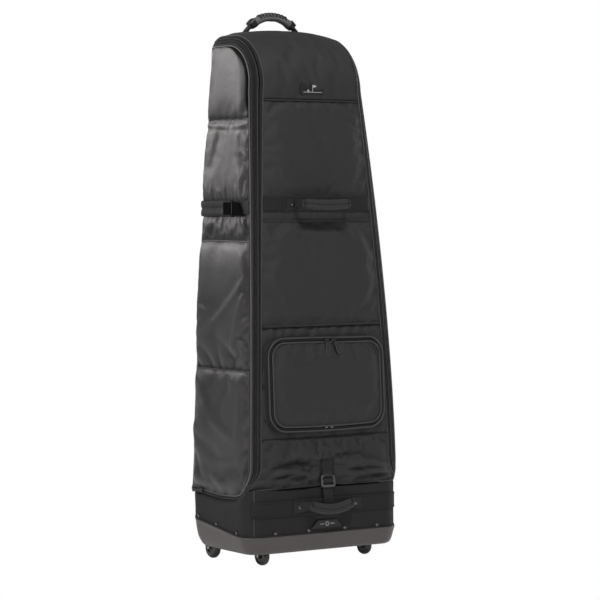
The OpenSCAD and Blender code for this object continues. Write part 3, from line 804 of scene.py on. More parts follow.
# ---------------------------------------------------------------- side opening
def zip_stations():
    """Stations every 5 mm or so round the right opening: the door's edge, the frame's seam."""
    raw = []
    for y in np.linspace(137, -56, 34):
        sag = float(wave(y))
        raw.append((side_x(y, DOOR_Z) - 0.6, y, DOOR_Z + sag,
                    side_x(y, 160) + 0.4, y, 157.5 + sag))
    for a in np.linspace(86, 4, 15):
        c, s = math.cos(math.radians(a)), math.sin(math.radians(a))
        sag = float(wave(TOE_Y - TOE_R * c)) * s
        z = TOE_Z - TOE_R * s
        seam_z = TOE_Z - (TOE_R + 12 * s) * s
        raw.append((half_width(z) - 0.6 + float(foot_roll(z)), TOE_Y - TOE_R * c, z + sag,
                    FOOT_HALF - 25 * c**7 + float(foot_roll(seam_z)), TOE_Y - 75.7 * c,
                    seam_z + sag))
    for z in np.linspace(238, 1148, 92):
        raw.append((half_width(z) - 0.6, float(door_front_y(z)), z,
                    float(front_half(z)) + 1, float(front_y(z)), z))
    for a in np.linspace(3, 88, 17):
        c, s = math.cos(math.radians(a)), math.sin(math.radians(a))
        z = BROW_Z + BROW_R * s
        raw.append((float(half_width(min(z, TOP))) - 0.6, BROW_Y - BROW_R * c, z,
                    137.5, BROW_Y - 131 * c, BROW_Z + 131 * s))
    for y in np.linspace(64, 137, 14):
        drop = 3 * smooth(118, 138, y)
        raw.append((float(side_x(y, TOP)) - 0.6, y, TOP - drop, 137.5 - drop, y, 1281 - drop))
    raw = np.array(raw)
    mid = (raw[:, :3] + raw[:, 3:]) / 2
    d = np.r_[0, np.cumsum(np.linalg.norm(np.diff(mid, axis=0), axis=1))]
    s = np.linspace(0, d[-1], int(d[-1] / 5.0) + 1)
    even = soften(np.stack([np.interp(s, d, raw[:, k]) for k in range(6)], 1), 2)
    return even[:, :3], even[:, 3:]


DOOR_EDGE, SEAM = zip_stations()


def door_grid(cols=44):
    """Unpadded face of the right door, and the height of each row."""
    rows = ([TOE_Z - TOE_R * math.cos(math.radians(a)) for a in np.linspace(0, 84, 11)]
            + list(np.linspace(246, 1140, 150))
            + [BROW_Z + BROW_R * math.sin(math.radians(a)) for a in np.linspace(3, 90, 13)])
    heights = np.array(sorted(rows))
    grid = np.zeros((len(heights), cols + 1, 3))
    for j, z in enumerate(heights):
        edge = float(door_edge_y(np.clip(z, DOOR_Z, TOP)))
        y = edge + (BACK_Y - edge) * np.linspace(0, 1, cols + 1)
        grid[j, :, 0] = side_x(y, z)
        grid[j, :, 1] = y
        grid[j, :, 2] = (z + wave(y) * (1 - smooth(169, 260, z))
                         - 3 * smooth(118, 138, y) * smooth(1200, 1255, z))
    return grid, heights


# from (y, z) to (y, z), half width, height, bow
DOOR_CREASES = (
    # lowest panel: a slack X of folds, then level folds over the rounded bottom
    (112, 455, 62, 372, 13, 3.4, 3), (58, 380, 132, 300, 12, 3.2, 0),
    (52, 352, -74, 300, 13, 3.0, 5), (-30, 440, 30, 360, 20, -2.6, 0),
    (110, 300, 0, 250, 16, -1.8, -6), (60, 238, -66, 252, 11, 2.6, 7),
    (90, 205, -50, 214, 9, -1.8, 6), (40, 212, -40, 190, 9, 1.8, 3),
    (-84, 420, -70, 300, 10, 1.8, 0), (126, 420, 110, 330, 10, -1.8, 0),
    # panel between the two lower seams: long diagonals down to the back
    (-90, 700, 128, 524, 11, 3.6, -10), (-86, 660, -36, 520, 9, 2.8, 5),
    (-70, 690, 90, 590, 22, -2.2, -8), (100, 590, 132, 540, 7, 1.8, 0),
    (60, 560, -60, 490, 16, -1.8, 0), (20, 740, 60, 620, 22, 1.4, 0),
    (-60, 756, -80, 690, 9, 1.6, 0),
    # panel over the strap: tent folds falling from the upper seam
    (14, 1066, 22, 905, 15, 3.4, 0), (58, 1050, 104, 930, 17, -3.0, -6),
    (-26, 1050, -52, 940, 13, -2.8, 4), (112, 1060, 128, 900, 12, 2.0, 0),
    (-58, 1040, -38, 900, 9, 1.8, -4),
    # top panel, almost smooth
    (80, 1240, 40, 1110, 26, 1.6, 0), (-20, 1230, 0, 1110, 22, -1.2, 0),
)


def drape(y, z, rng):
    """Folds that fan out from the seams of a door and from its strap."""
    f = creases(y, z, DOOR_CREASES)
    # a second, lower tuck just under the upper seam
    tuck = 1063 - 5 * np.cos((y - 20) / 70.0)
    f += 2.6 * np.exp(-((z - tuck) / 4.6) ** 2) - 1.8 * np.exp(-((z - 1053) / 5.0) ** 2)
    # gathers pinched by the strap, above and below it
    k = -62.0
    while k < 128:
        width = rng.uniform(3.6, 5.6)
        up = rng.uniform(32, 96)
        down = rng.uniform(20, 52)
        lean = rng.uniform(-0.10, 0.10) + (20 - k) * 0.0009
        f += crease(y, z, k, 876, k + lean * up * 2, 876 + up, width, rng.uniform(1.6, 3.0))
        f += crease(y, z, k + rng.uniform(-4, 4), 842,
                    k - lean * down * 2 - (8 if k < -30 else 0), 842 - down,
                    width, rng.uniform(0.8, 1.5))
        k += rng.uniform(15, 25)
    # long tug line down to the front corner of the middle seam
    f += crease(y, z, -38, 842, -88, 796, 4.5, 2.4)
    # two fine gathers under each outer seam
    for seam in (SEAMS_Z[0], SEAMS_Z[2]):
        for _ in range(2):
            start = rng.uniform(-80, 120)
            f += crease(y, z, start, seam - 4, start + rng.uniform(-14, 14),
                        seam - rng.uniform(22, 60), rng.uniform(6, 11), rng.uniform(-1.2, 1.4))
    return f


# each belly of a door: from z, to z, depth, power of its run
DOOR_BELLIES = ((DOOR_Z, SEAMS_Z[0], 6.5, 1.5), (SEAMS_Z[0], SEAMS_Z[1], 9.5, 2.2),
                (SEAMS_Z[1], STRAP_Z, 3.2, 0.6), (STRAP_Z, SEAMS_Z[2], 8.0, 0.62),
                (SEAMS_Z[2], TOP, 8.0, 0.6))


def door_padding(grid, z, across, rng):
    """How far the door stands proud of its flat face."""
    belly = np.zeros_like(z)
    for low, high, depth, power in DOOR_BELLIES:
        t = np.clip((z - low) / (high - low), 0, 1)
        if power > 1:
            run = (1 - np.exp(-(high - z) / 15.0)) * smooth(0, 0.5, t) ** 0.8
        else:
            run = np.sin(math.pi * t**power) ** 0.52
        belly += depth * run * ((z >= low) & (z < high))
    edges = smooth(-0.03, 0.20, across) * smooth(1.005, 0.90, across)
    cinch = np.exp(-((z - STRAP_Z) / 30.0) ** 2) * smooth(-90, -50, grid[..., 1])
    folds = drape(grid[..., 1], z, rng) * smooth(0.0, 0.10, across) * smooth(1.0, 0.93, across)
    away = np.ones_like(z)
    for seam in SEAMS_Z:
        away *= 1 - np.exp(-((z - seam) / 4.5) ** 2)
    return (belly * edges - 5.0 * cinch * np.sin(math.pi * np.clip(across, 0, 1)) ** 0.3
            + folds * away * (1 - np.exp(-((z - STRAP_Z) / 17.0) ** 4)))


def door_shade(y, z):
    """Painted shade: dark where the cloth turns in under the zip, beside the strap and by the
    seams, and in a few bands across the panels.
    """
    edge = np.abs(y - door_edge_y(np.clip(z, DOOR_Z, TOP)))
    brow = np.abs(BROW_R - np.hypot(y - BROW_Y, z - BROW_Z))
    edge = np.where((z > BROW_Z) & (y < BROW_Y), brow,
                    np.where(z > BROW_Z, np.minimum(edge, TOP - z), edge))
    reach = (3.0 + 9.5 * smooth(1050, 1130, z) * smooth(70, 10, y)
             + 2.0 * smooth(300, 240, z))
    shade = 0.95 * (1 - smooth(0.75, 1.3, edge / reach))
    for dark in (
            0.55 * np.exp(-((z - (STRAP_Z - 22)) / 7.0) ** 2) * (y > -95),
            0.5 * np.exp(-((z - (STRAP_Z + 22)) / 5.0) ** 2) * (y > -95),
            0.40 * smooth(775, 782, z) * smooth(STRAP_Z, STRAP_Z - 14, z),
            0.20 * smooth(1160, 1082, z) * (z > 1075),
            0.26 * smooth(742, 706, z) * smooth(540, 660, z),
            *(0.45 * np.exp(-((z - seam - 5.0) / 4.5) ** 2) for seam in SEAMS_Z)):
        shade = np.maximum(shade, dark)
    return shade


def build_door(side, s, seed):
    """Ripstop panels blown out between their seams. Returns the face grid and row heights."""
    flat, heights = door_grid()
    across = np.linspace(0, 1, flat.shape[1])[None, :]
    z = np.repeat(heights[:, None], flat.shape[1], 1)
    padded = flat.copy()
    padded[..., 0] += door_padding(flat, z, across, np.random.default_rng(seed))
    pin = edge_pins(flat)
    pin[:, -2] = 1
    pin[:, -3] = 0.7
    pin[:, 1] = 0.5
    for seam in SEAMS_Z:
        pin[int(np.argmin(np.abs(heights - seam)))] = 1
    strap = np.abs(heights - STRAP_Z) < 17
    pin[strap, :] = np.where(across > 0.1, 1.0, pin[strap, :])
    cloth = relax(padded, pin, pressure=0.7, grow=0.014, frames=20, bend=3.0, stiff=10, cap=9,
                  outward=(1, 0, 0), noise=1.3, seed=seed, mass=0.2)
    # moves are softly limited so that nothing stands out past the strap or the back corner
    move = 5.0 * np.tanh((cloth - padded) / 5.0)
    calm = np.ones_like(z)
    for low, high, keep in ((700, 790, 0.35), (1075, 1260, 0.4), (400, 475, 0.5)):
        calm = np.minimum(calm, 1 - (1 - keep) * smooth(low - 90, low + 30, z)
                          * smooth(high + 6, high - 6, z))
    cloth = padded + move * calm[..., None]
    dx = cloth[..., 0] - flat[..., 0]
    cloth[..., 0] = flat[..., 0] + np.where(dx > 0, 14.0 * np.tanh(dx / 14.0),
                                            8.0 * np.tanh(dx / 8.0))
    # the cut edge tucks under the piping
    cloth[:, 0, 0] -= 1.0
    cloth = flip_x(cloth, s)
    door = shell("side_panel_" + side, cloth, 3.2, "side", (s, 0, 0), subdivide=True,
                 shade=door_shade(flat[..., 1], z), cavity=0.4)
    bake(door)
    stands_for(door, "side_fabric", "side_door_" + side)
    attach(door, DOOR_BLEND[side])
    return cloth, heights


def build_door_seams(side, s, face, heights):
    """A stitched fold line at each seam."""
    out = (float(s), 0, 0)
    for i, z in enumerate(SEAMS_Z):
        row = face[int(np.argmin(np.abs(heights - z))), :-1]
        path = resample(row + np.array([s * 0.3, 0, 0]), 5.0)
        sweep(f"side_seam_{side}_{i}", path, out, rrect(3.4, 1.5, 0.6, 2), "side",
              DOOR_BLEND[side])
        stitches(f"side_stitch_{side}_{i}", path + np.array([s * 0.9, 0, 4.5]), out,
                 DOOR_BLEND[side])


def build_zip(side, s):
    """Both halves of a door zip. Places are fractions from the door edge (0) to the seam (1)."""
    count = len(SEAM)
    ways = unit(SEAM - DOOR_EDGE)
    middle = (DOOR_EDGE + SEAM) / 2
    out = unit(np.cross(tangents(middle), ways))
    core = np.stack([np.zeros(count), np.full(count, 10.0),
                     np.clip(DOOR_EDGE[:, 2], 235, 1130)], 1)
    out = out * np.sign(np.sum(out * (middle - core), 1))[:, None]
    gap = np.linalg.norm(SEAM - DOOR_EDGE, axis=1)
    normals = flip_x(out, s)
    door = DOOR_BLEND[side]

    def surface(place, lift=0.0):
        k = np.full(count, place)
        arch = 3.2 * np.sin(math.pi * np.clip(k, 0, 1)) * np.minimum(1, gap / 22.0)
        return (DOOR_EDGE * (1 - k)[:, None] + SEAM * k[:, None]
                + out * (arch + lift)[:, None])

    def strip(name, places, lifts, thick, mat, body):
        grid = flip_x(np.stack([surface(k, h) for k, h in zip(places, lifts)], 1), s)
        return shell(f"{name}_{side}", grid, thick, mat, normals[:, None, :], body)

    def cord(name, place, lift, radius, mat, body, sides=8):
        sweep(f"{name}_{side}", flip_x(surface(place, lift), s), normals,
              circle(radius, sides), mat, body)

    # door half: piping on the edge of the cloth in a brighter copy, as painted highlight; a black
    # strip in the groove as painted shadow; raised tape
    cord("door_piping", 0.0, 1.3, 1.7, "piping_l", door)
    strip("door_groove_shadow", (-0.06, 0.03, 0.10, 0.16), (-0.2, -1.4, -1.4, -0.6), 1.0, "gap", door)
    tape = strip("door_zip_tape", (0.12, 0.14, 0.22, 0.31, 0.37), (-0.8, 0.8, 1.2, 0.8, 0.0),
                 1.2, "tape", door)
    stands_for(tape, "zip_tape", "door_zip_" + side)
    cord("door_tape_edge", 0.145, 0.8, 0.9, "piping_m", door, 6)
    # frame half: channel for the coil, raised tape, a groove, then the rolled front seam. The
    # channel, the groove and the strip beside the seam are black sheets of painted shadow; the
    # cords use brighter piping as painted highlight.
    strip("frame_channel_shadow", (0.375, 0.40, 0.44, 0.46), (-0.9, -1.0, -1.0, -0.6), 0.8, "gap",
          "shell")
    tape = strip("frame_zip_tape", (0.435, 0.47, 0.56, 0.64, 0.665),
                 (-0.2, 0.9, 1.3, 1.0, -0.6), 1.2, "tape", "shell")
    stands_for(tape, "zip_tape", "frame_zip_" + side)
    strip("frame_groove_shadow", (0.64, 0.68, 0.74, 0.80), (-1.4, -2.2, -2.2, -1.2), 1.0, "gap",
          "shell")
    gusset = strip("frame_gusset", (0.755, 0.775, 0.84, 0.90, 0.925),
                   (-1.2, 1.3, 2.3, 1.4, -1.0), 1.8, "band", "shell")
    strip("frame_shadow", (0.90, 0.94, 0.985, 1.03), (-1.6, -1.2, -0.9, -1.6), 1.0, "gap",
          "shell")
    cord("frame_piping", 1.0, 0.3, 1.7, "piping_m", "shell")
    cord("gusset_cord", 0.655, 1.1, 1.0, "piping_m", "shell", 6)
    # coil teeth, those of the frame half a pitch on
    for name, place, body in (("door", 0.388, door), ("frame", 0.422, "shell")):
        teeth = resample(np.concatenate([surface(place, 0.3), out, ways], 1), 2.7)
        if name == "frame":
            teeth = (teeth[:-1] + teeth[1:]) / 2
        z_axes = unit(flip_x(teeth[:, 3:6], s))
        x_axes = unit(flip_x(teeth[:, 6:9], s))
        rods(f"{name}_coil_{side}", 2.6, 0.75, flip_x(teeth[:, :3], s), x_axes,
             unit(np.cross(z_axes, x_axes)), z_axes, "coil", body)
    for name, place, lift, body in (("door_stitch", 0.235, 1.35, door),
                                    ("frame_stitch", 0.56, 1.45, "shell")):
        stitches(f"{name}_{side}", flip_x(surface(place, lift), s), normals, body)


# ---------------------------------------------------------------- front panels
def front_grid(z0, z1, proud, rows, cols):
    """Outer face of a front panel; proud(across, z) is how far it stands off its seams."""
    across, z = np.meshgrid(np.linspace(-1, 1, cols + 1), np.linspace(z0, z1, rows + 1))
    grid = np.stack([across * (front_half(z) + 0.5), front_y(z) - proud(across, z), z], -1)
    return grid, across, z


def belly(z, low, high, depth, power=0.7):
    t = np.clip((z - low) / (high - low), 0, 1)
    return depth * np.sin(math.pi * t) ** power


def edge_fade(across, power):
    return 1 - np.abs(across) ** power


def proud_upper(across, z):
    depth = np.where(z < CROSS_Z, belly(z, FOLD_Z, CROSS_Z, 8),
                     np.where(z < 892, 2.5, belly(z, 892, HOOD_Z, 5)))
    return (depth + 1.5) * edge_fade(across, 5)


def proud_lower(across, z):
    gather = (1.6 * np.sin(across * 34 + 1.3 * np.sin(across * 9))
              * smooth(545, 565, z) * smooth(576, 568, z))
    return (belly(z, FLAP_Z, FOLD_Z, 5, 0.5) + gather) * edge_fade(across, 6)


# slack lines of the upper front panel: from (x, z) to (x, z), half width, height, bow
FRONT_CREASES = (
    (-150, 822, -20, 816, 5.0, 2.4, 3), (-120, 806, 60, 800, 6.5, 2.0, -5),
    (20, 822, 130, 812, 5.0, 1.8, 4), (-150, 790, -60, 740, 11, 1.8, 5),
    (110, 806, 150, 720, 12, 1.8, -6), (-30, 760, 70, 690, 20, 1.4, 6),
    (-160, 700, -90, 620, 13, 1.6, 0), (160, 690, 90, 610, 13, 1.6, 0),
    (-165, 600, 165, 598, 8.0, 2.8, 3), (-165, 585, 165, 583, 5.0, -2.2, 2),
    (-120, 640, -20, 612, 9, 1.4, 0), (60, 610, 150, 640, 9, 1.4, 0),
    (-130, 905, 30, 912, 6.0, 1.6, 4), (30, 900, 130, 908, 6.0, 1.4, -4),
    (-150, 1100, -70, 960, 16, 1.8, 8), (-20, 1105, 40, 930, 22, -1.5, 0),
    (140, 1090, 80, 950, 16, 1.6, -6), (-60, 1020, 60, 1000, 22, 1.0, 6),
    (-150, 1104, 150, 1100, 7, 1.2, 2),
)


def build_front_upper():
    """The panel from the fold over the pocket up to the hood seam."""
    grid, across, z = front_grid(FOLD_Z, HOOD_Z, proud_upper, 96, 56)
    under_band = (z > 851) & (z < 889)
    grid[..., 1] -= (creases(grid[..., 0], z, FRONT_CREASES) * edge_fade(across, 8)
                     * (1 - np.exp(-((z - CROSS_Z) / 5.0) ** 2)) * ~under_band)
    pin = edge_pins(grid)
    pin[np.abs(z - CROSS_Z) < 4.3] = 1
    pin[under_band] = 1
    cloth = relax(grid, pin, pressure=0.9, grow=0.016, frames=18, bend=1.6, stiff=12, cap=6,
                  outward=FRONT, noise=1.0, seed=31)
    cloth[..., 1] = np.maximum(cloth[..., 1], grid[..., 1] - 6)
    panel = shell("front_panel_upper", cloth, 4.0, "front", FRONT, "shell", subdivide=True)
    stands_for(panel, "front_fabric", "front_panel")


def build_front_lower():
    """The panel behind the pocket, gathered just under the fold."""
    grid, across, z = front_grid(FLAP_Z, FOLD_Z + 3, proud_lower, 32, 42)
    pin = edge_pins(grid)
    pin[(np.abs(grid[..., 0]) < POCKET_W + 8) & (np.abs(z - POCKET_Z) < POCKET_H + 8)] = 1
    grid[..., 1] += 3.0 * smooth(560, 578, z)
    cloth = relax(grid, pin, pressure=2.0, grow=0.03, frames=16, bend=0.4, stiff=12, cap=6,
                  outward=FRONT, noise=1.2, seed=32)
    panel = shell("front_panel_lower", cloth, 4.0, "front", FRONT, "shell", subdivide=True)


# sagging arcs of the flap: x and z of the crown, half width, sag per mm squared, height
FLAP_FOLDS = (
    (-112, 228, 5.5, 0.0042, 2.6), (-96, 246, 7.0, 0.0030, -2.2), (-62, 262, 9.0, 0.0022, 1.8),
    (-66, 222, 5.0, 0.0036, 2.0), (-148, 206, 5.0, 0.0020, 2.2), (104, 238, 7.0, 0.0030, 2.2),
    (74, 262, 8.0, 0.0022, -1.8), (128, 216, 5.5, 0.0026, 2.4), (-40, 210, 5.0, 0.004, 1.4),
    (70, 216, 5.0, 0.0034, 1.8), (150, 206, 5.0, 0.0010, -2.0), (40, 244, 6.0, 0.0040, 1.5),
    (-20, 276, 9.0, 0.0010, 1.2),
)


def flap_grid(low=190.5, high=304):
    seam = SEAM[(SEAM[:, 2] < 330) & (SEAM[:, 1] < -60)]
    seam = seam[np.argsort(seam[:, 2])]
    across, z = np.meshgrid(np.linspace(-1, 1, 97), np.linspace(low, high, 35))
    x = across * (np.interp(z, seam[:, 2], seam[:, 0]) + 0.5)
    edge = np.interp(z, seam[:, 2], seam[:, 1])
    middle = np.where(z > 235, front_y(z), -136.2)
    near = np.clip(np.abs(across), 0, 1) ** 7
    y = edge * near + middle * (1 - near)
    t = (z - low) / (high - low)
    cinch = np.exp(-((x - 1) / 34.0) ** 2) * smooth(285, 225, z)
    puff = (8.5 * np.sin(math.pi * np.clip(0.14 + 0.84 * (1 - t), 0, 1)) ** 0.8
            * (1 - near) * (1 - 0.92 * cinch))
    folds = np.zeros_like(x)
    for x0, z0, width, sag, height in FLAP_FOLDS:
        d = z - (z0 - sag * (x - x0) ** 2)
        folds += (3.3 * height * np.exp(-(d / (1.15 * width)) ** 2)
                  * np.exp(-((x - x0) / 62.0) ** 2))
    puff = puff + folds * (1 - cinch)
    grid = np.stack([x, y - puff, z], -1)
    # the free lower edge droops a little between the corner and the buckle
    grid[..., 2] -= 2.5 * smooth(215, 190, z) * np.sin(np.abs(across) * math.pi) ** 2
    return grid, across, z


def build_flap():
    """Draped flap under the pocket, held down in the middle by the buckle strap."""
    grid, across, z = flap_grid()
    pin = edge_pins(grid)
    pin[0] = np.where(np.abs(across[0]) > 0.02, 0.55, 1)
    pin[0, 0] = pin[0, -1] = 1
    pin[(np.abs(grid[..., 0]) < 20) & (z < 252)] = 1
    cloth = relax(grid, pin, pressure=0.3, grow=0.012, frames=12, bend=3.0, stiff=10, cap=3,
                  outward=FRONT, noise=1.2, seed=33)
    cloth[..., 1] = np.maximum(cloth[..., 1], grid[..., 1] - 6)
    held = (np.abs(cloth[..., 0]) < 22) & (cloth[..., 2] < 252)
    cloth[..., 1][held] = np.maximum(cloth[..., 1][held], -136.9)
    flap = shell("front_flap", cloth, 3.0, "front", FRONT, "shell", subdivide=True, cavity=0.5)
    stands_for(flap, "front_fabric", "lower_front_panel")
    hem = cloth[0] + np.array([0, -0.4, 0.6])
    sweep("flap_hem", hem, FRONT, rrect(2.6, 3.6, 1.1, 2), "front", "shell")
    under = hem[2:-2] + np.array([0, 0.9, -3.4])
    under[:, 2] -= 0.9 * np.abs(np.sin(under[:, 0] / 31.0)) * (np.abs(under[:, 0]) > 24)
    sweep("flap_shadow", under, FRONT, rrect(4.2, 3.4, 0.9, 2), "gap", "shell")


def hood_grid():
    """Crown over the top, following the two frame seams."""
    seam = SEAM[SEAM[:, 2] > 1119.5]
    seam = resample(seam[seam[:, 1] < 140], 8.0)
    along = unit(np.gradient(seam, axis=0) * np.array([0, 1, 1]))
    top = smooth(1150, 1270, seam[:, 2])
    depth = 4.0 + 8.5 * top
    across = np.linspace(-1, 1, 37)
    grid = np.zeros((len(seam), len(across), 3))
    for j in range(len(seam)):
        crown = depth[j] * (1 - np.abs(across) ** (3.2 - 0.9 * top[j]))
        grid[j, :, 0] = across * seam[j, 0]
        grid[j, :, 1] = seam[j, 1] - along[j, 2] * crown
        grid[j, :, 2] = seam[j, 2] + along[j, 1] * crown
    return grid


def build_hood():
    grid = hood_grid()
    cloth = relax(grid, edge_pins(grid), pressure=1.2, grow=0.012, frames=16, bend=1.2,
                  stiff=14, cap=4, outward=None, noise=0.8, seed=34)
    hood = shell("hood", cloth, 4.5, "front", grid - np.array([0, 40, 1140.0]), "shell",
                 subdivide=True)
    stands_for(hood, "front_fabric", "hood_panel")


def cross_seam(name, z, proud, rows, thick=3.2, width=4.0):
    """A raised folded edge across the front with stitches at the given rows above it."""
    across = np.linspace(-0.985, 0.985, 60)
    path = np.stack([across * (front_half(z) + 0.5),
                     front_y(z) - proud(across, np.full_like(across, z)) - 0.4,
                     np.full_like(across, z)], 1)
    sweep(name, path, FRONT, rrect(width, thick, min(width, thick) * 0.3, 2), "front", "shell")
    for k, dz in enumerate(rows):
        stitches(f"{name}_thread{k}", path + np.array([0, -0.5, dz]), FRONT, "shell")
    return path


def build_cross_seams():
    path = cross_seam("seam_hood", HOOD_Z, lambda u, z: 3.6 * edge_fade(u, 4), (-5.0, -11.0))
    # binding tape on the inside of the hood seam
    sweep("seam_hood_tape", path + np.array([0, 5.4, -0.5]), FRONT, rrect(24, 2.6, 1.0, 2),
          "tape", "shell")
    cross_seam("seam_830", CROSS_Z, proud_upper, (4.0,))
    path = cross_seam("seam_576", FOLD_Z + 1,
                      lambda u, z: 1.5 * edge_fade(u, 5) + 0.6 + 0.5 * np.sin(u * 31),
                      (6.0,), thick=2.8, width=5)
    shadow = path + np.array([0, 0.6, -4.6])
    shadow[:, 2] += -1.6 * np.sin(path[:, 0] / 17.0) ** 2
    swell = np.stack([0.55 + 0.45 * np.sin(shadow[:, 0] / 23.0) ** 2, np.ones(len(path))], 1)
    sweep("seam_576_shadow", shadow, FRONT, rrect(2.0, 1.4, 0.5, 2), "band", "shell",
          scale=swell)
    cross_seam("seam_303", FLAP_Z + 0.5, lambda u, z: 1.0 + 0 * u, (5.0,), thick=3.6, width=5)


def build_mid_band():
    """Webbing band across the front at the middle handle."""
    row = np.linspace(-0.99, 0.99, 61)
    across, z = np.meshgrid(row, np.linspace(852, 889.5, 7))
    pucker = 0.35 * np.sin(across * 60) * np.exp(-((np.abs(across) - 0.5) / 0.12) ** 2)
    grid = np.stack([across * front_half(z),
                     front_y(z) - 4.3 * edge_fade(across, 8) - 1.6 - pucker, z], -1)
    stands_for(shell("mid_band_web", grid, 2.2, "band", FRONT, "shell"), "band_fabric",
               "mid_band")
    for k, z in enumerate((855.0, 886.5)):
        path = np.stack([row * front_half(z), front_y(z) - 4.3 * edge_fade(row, 8) - 1.8,
                         np.full_like(row, z)], 1)
        stitches(f"mid_band_thread{k}", path, FRONT, "shell")


# ---------------------------------------------------------------- back panel
BACK_FOOT, BACK_TOP = 158, 1277.5
BACK_TOP_HALF, BACK_CROWN = 134.5, 11.5  # half width of the top edge and how far it arches


def back_grid(rows=130, cols=44):
    across = np.linspace(-1, 1, cols + 1)
    grid = np.zeros((rows + 1, cols + 1, 3))
    for j, t in enumerate(np.linspace(0, 1, rows + 1)):
        z = BACK_FOOT + t * (BACK_TOP - BACK_FOOT)
        half = float(chord(min(z, 1252))) - 3.0
        if z > 1252:
            half = np.interp(z, (1252, BACK_TOP), (half, BACK_TOP_HALF))
        grid[j, :, 0] = across * half
        grid[j, :, 2] = z + BACK_CROWN * (1 - across**2) * smooth(0.94, 1.0, t)
        grid[j, :, 1] = 135.2 + 1.6 * (1 - np.abs(across) ** 6) * math.sin(math.pi * t) ** 0.3
    return grid


def quilt(grid, pin):
    """Soft bellies between the quilted seams, with puckers running out of each seam."""
    x, y, z = grid[..., 0], grid[..., 1], grid[..., 2]
    across = np.linspace(-1, 1, grid.shape[1])[None, :] + 0 * z
    levels = (BACK_FOOT, *SEAMS_Z, 1290)
    for low, high in zip(levels, levels[1:]):
        k = np.clip((z - low) / (high - low), 0, 1)
        y += (3.6 * np.sin(math.pi * k) ** 0.45 * (1 - np.abs(across) ** 5)
              * ((z >= low) & (z < high)))
    rng = np.random.default_rng(77)
    for seam in SEAMS_Z:
        y -= 1.8 * np.exp(-((z - seam) / 5.0) ** 2)
        for _ in range(9):
            x0 = rng.uniform(-130, 130)
            for way in (-1, 1):
                k = np.clip((z - seam) * way / rng.uniform(25, 60), 0, 1)
                width = rng.uniform(6, 10)
                y += (rng.uniform(-1.2, 1.4)
                      * np.exp(-((x - x0 - rng.uniform(-8, 8) * k) / width) ** 2)
                      * np.sin(math.pi * k) * (1 - np.abs(across) ** 4))
        pin[np.abs(z - seam) < 6.5] = 1


def build_back():
    grid = back_grid()
    pin = edge_pins(grid)
    quilt(grid, pin)
    cloth = relax(grid, pin, pressure=0.6, grow=0.010, frames=12, bend=1.6, stiff=14, cap=3,
                  outward=BACK, noise=0.7, seed=35)
    cloth[..., 1] = np.clip(cloth[..., 1], 130, 142.5)
    skin = shell("back_skin", cloth, 4.0, "front", BACK, "shell", subdivide=True, cavity=0.22)
    stands_for(skin, "front_fabric", "back_panel")
    for k, z in enumerate(SEAMS_Z):
        x = np.linspace(-float(chord(z)) + 8, float(chord(z)) - 8, 40)
        path = np.stack([x, np.full_like(x, 135.6), np.full_like(x, z - 0.5)], 1)
        sweep(f"back_seam{k}", path, BACK, circle(1.5, 8), "piping", "shell")
        path = np.stack([x, np.full_like(x, 136.6), np.full_like(x, z + 5.5)], 1)
        stitches(f"back_thread{k}", path, BACK, "shell", "thread_l")
    for side, s in SIDES:
        z = np.linspace(160, 1252, 120)
        path = np.stack([s * (chord(z) - 3.0), np.full_like(z, 136.4), z], 1)
        path = np.concatenate([path, [[s * BACK_TOP_HALF, 136.4, BACK_TOP]]])
        sweep("back_binding_" + side, resample(path, 10), BACK, circle(2.3, 8), "piping",
              "shell")
    across = np.linspace(-1, 1, 30)
    path = np.stack([across * BACK_TOP_HALF, np.full_like(across, 136.6),
                     1277.8 + BACK_CROWN * (1 - across**2)], 1)
    sweep("back_binding_top", path, BACK, circle(2.3, 8), "piping", "shell")


# ---------------------------------------------------------------- tub, wheel hoods and skirt
def tub_rim(y):
    return np.where(y < -85, 73.0, np.minimum(99.0, 73 + (y + 85) * 26 / 195.0))


def base_loop(w, y0, y1, r, rear_r=None, long=26, short=16, turn=12):
    """Rounded rectangle in plan, from the middle of the back, right side first.
    long, short and turn are the steps of its straights and corners."""
    out = []
    rear = r - 9 if rear_r is None else rear_r

    def line(a, b, n):
        for k in range(n):
            out.append((a[0] + (b[0] - a[0]) * k / n, a[1] + (b[1] - a[1]) * k / n))

    def arc(cx, cy, start, r):
        for k in range(turn):
            a = math.radians(start - 90 * k / turn)
            out.append((cx + r * math.cos(a), cy + r * math.sin(a)))

    line((0, y1), (w - rear, y1), long // 2)
    arc(w - rear, y1 - rear, 90, rear)
    line((w, y1 - rear), (w, y0 + r), short)
    arc(w - r, y0 + r, 0, r)
    line((w - r, y0), (-w + r, y0), long)
    arc(-w + r, y0 + r, -90, r)
    line((-w, y0 + r), (-w, y1 - rear), short)
    arc(-w + rear, y1 - rear, 180, rear)
    line((-w + rear, y1), (0, y1), long // 2)
    return np.array(out)


def base_normals(points, back_y=97):
    """Level directions out of a base loop, one for each (x, y) point."""
    out = unit(points - np.clip(points, [-178, -93], [178, back_y]))
    return np.concatenate([out, np.zeros((len(points), 1))], 1)


# z, half width, front y, back y, corner radius
TUB_OUTER = ((30.0, 200, -118, 88, 30), (30.3, 206, -124, 95, 33), (32.5, 211, -129, 101, 36),
             (37, 214.5, -132.4, 108, 39), (45, 217.8, -135.3, 115.5, 42),
             (56, 220.6, -137.2, 122, 43))
TUB_INNER = ((56, 216.6, -133.2, 117, 40), (38, 210, -128, 104, 35), (34.2, 200, -118, 90, 30))
# height from the rim, half width
TUB_LIP = ((-5.0, 224.0), (-3.6, 224.9), (-0.8, 224.9), (0.0, 224.3), (0.2, 221.8))


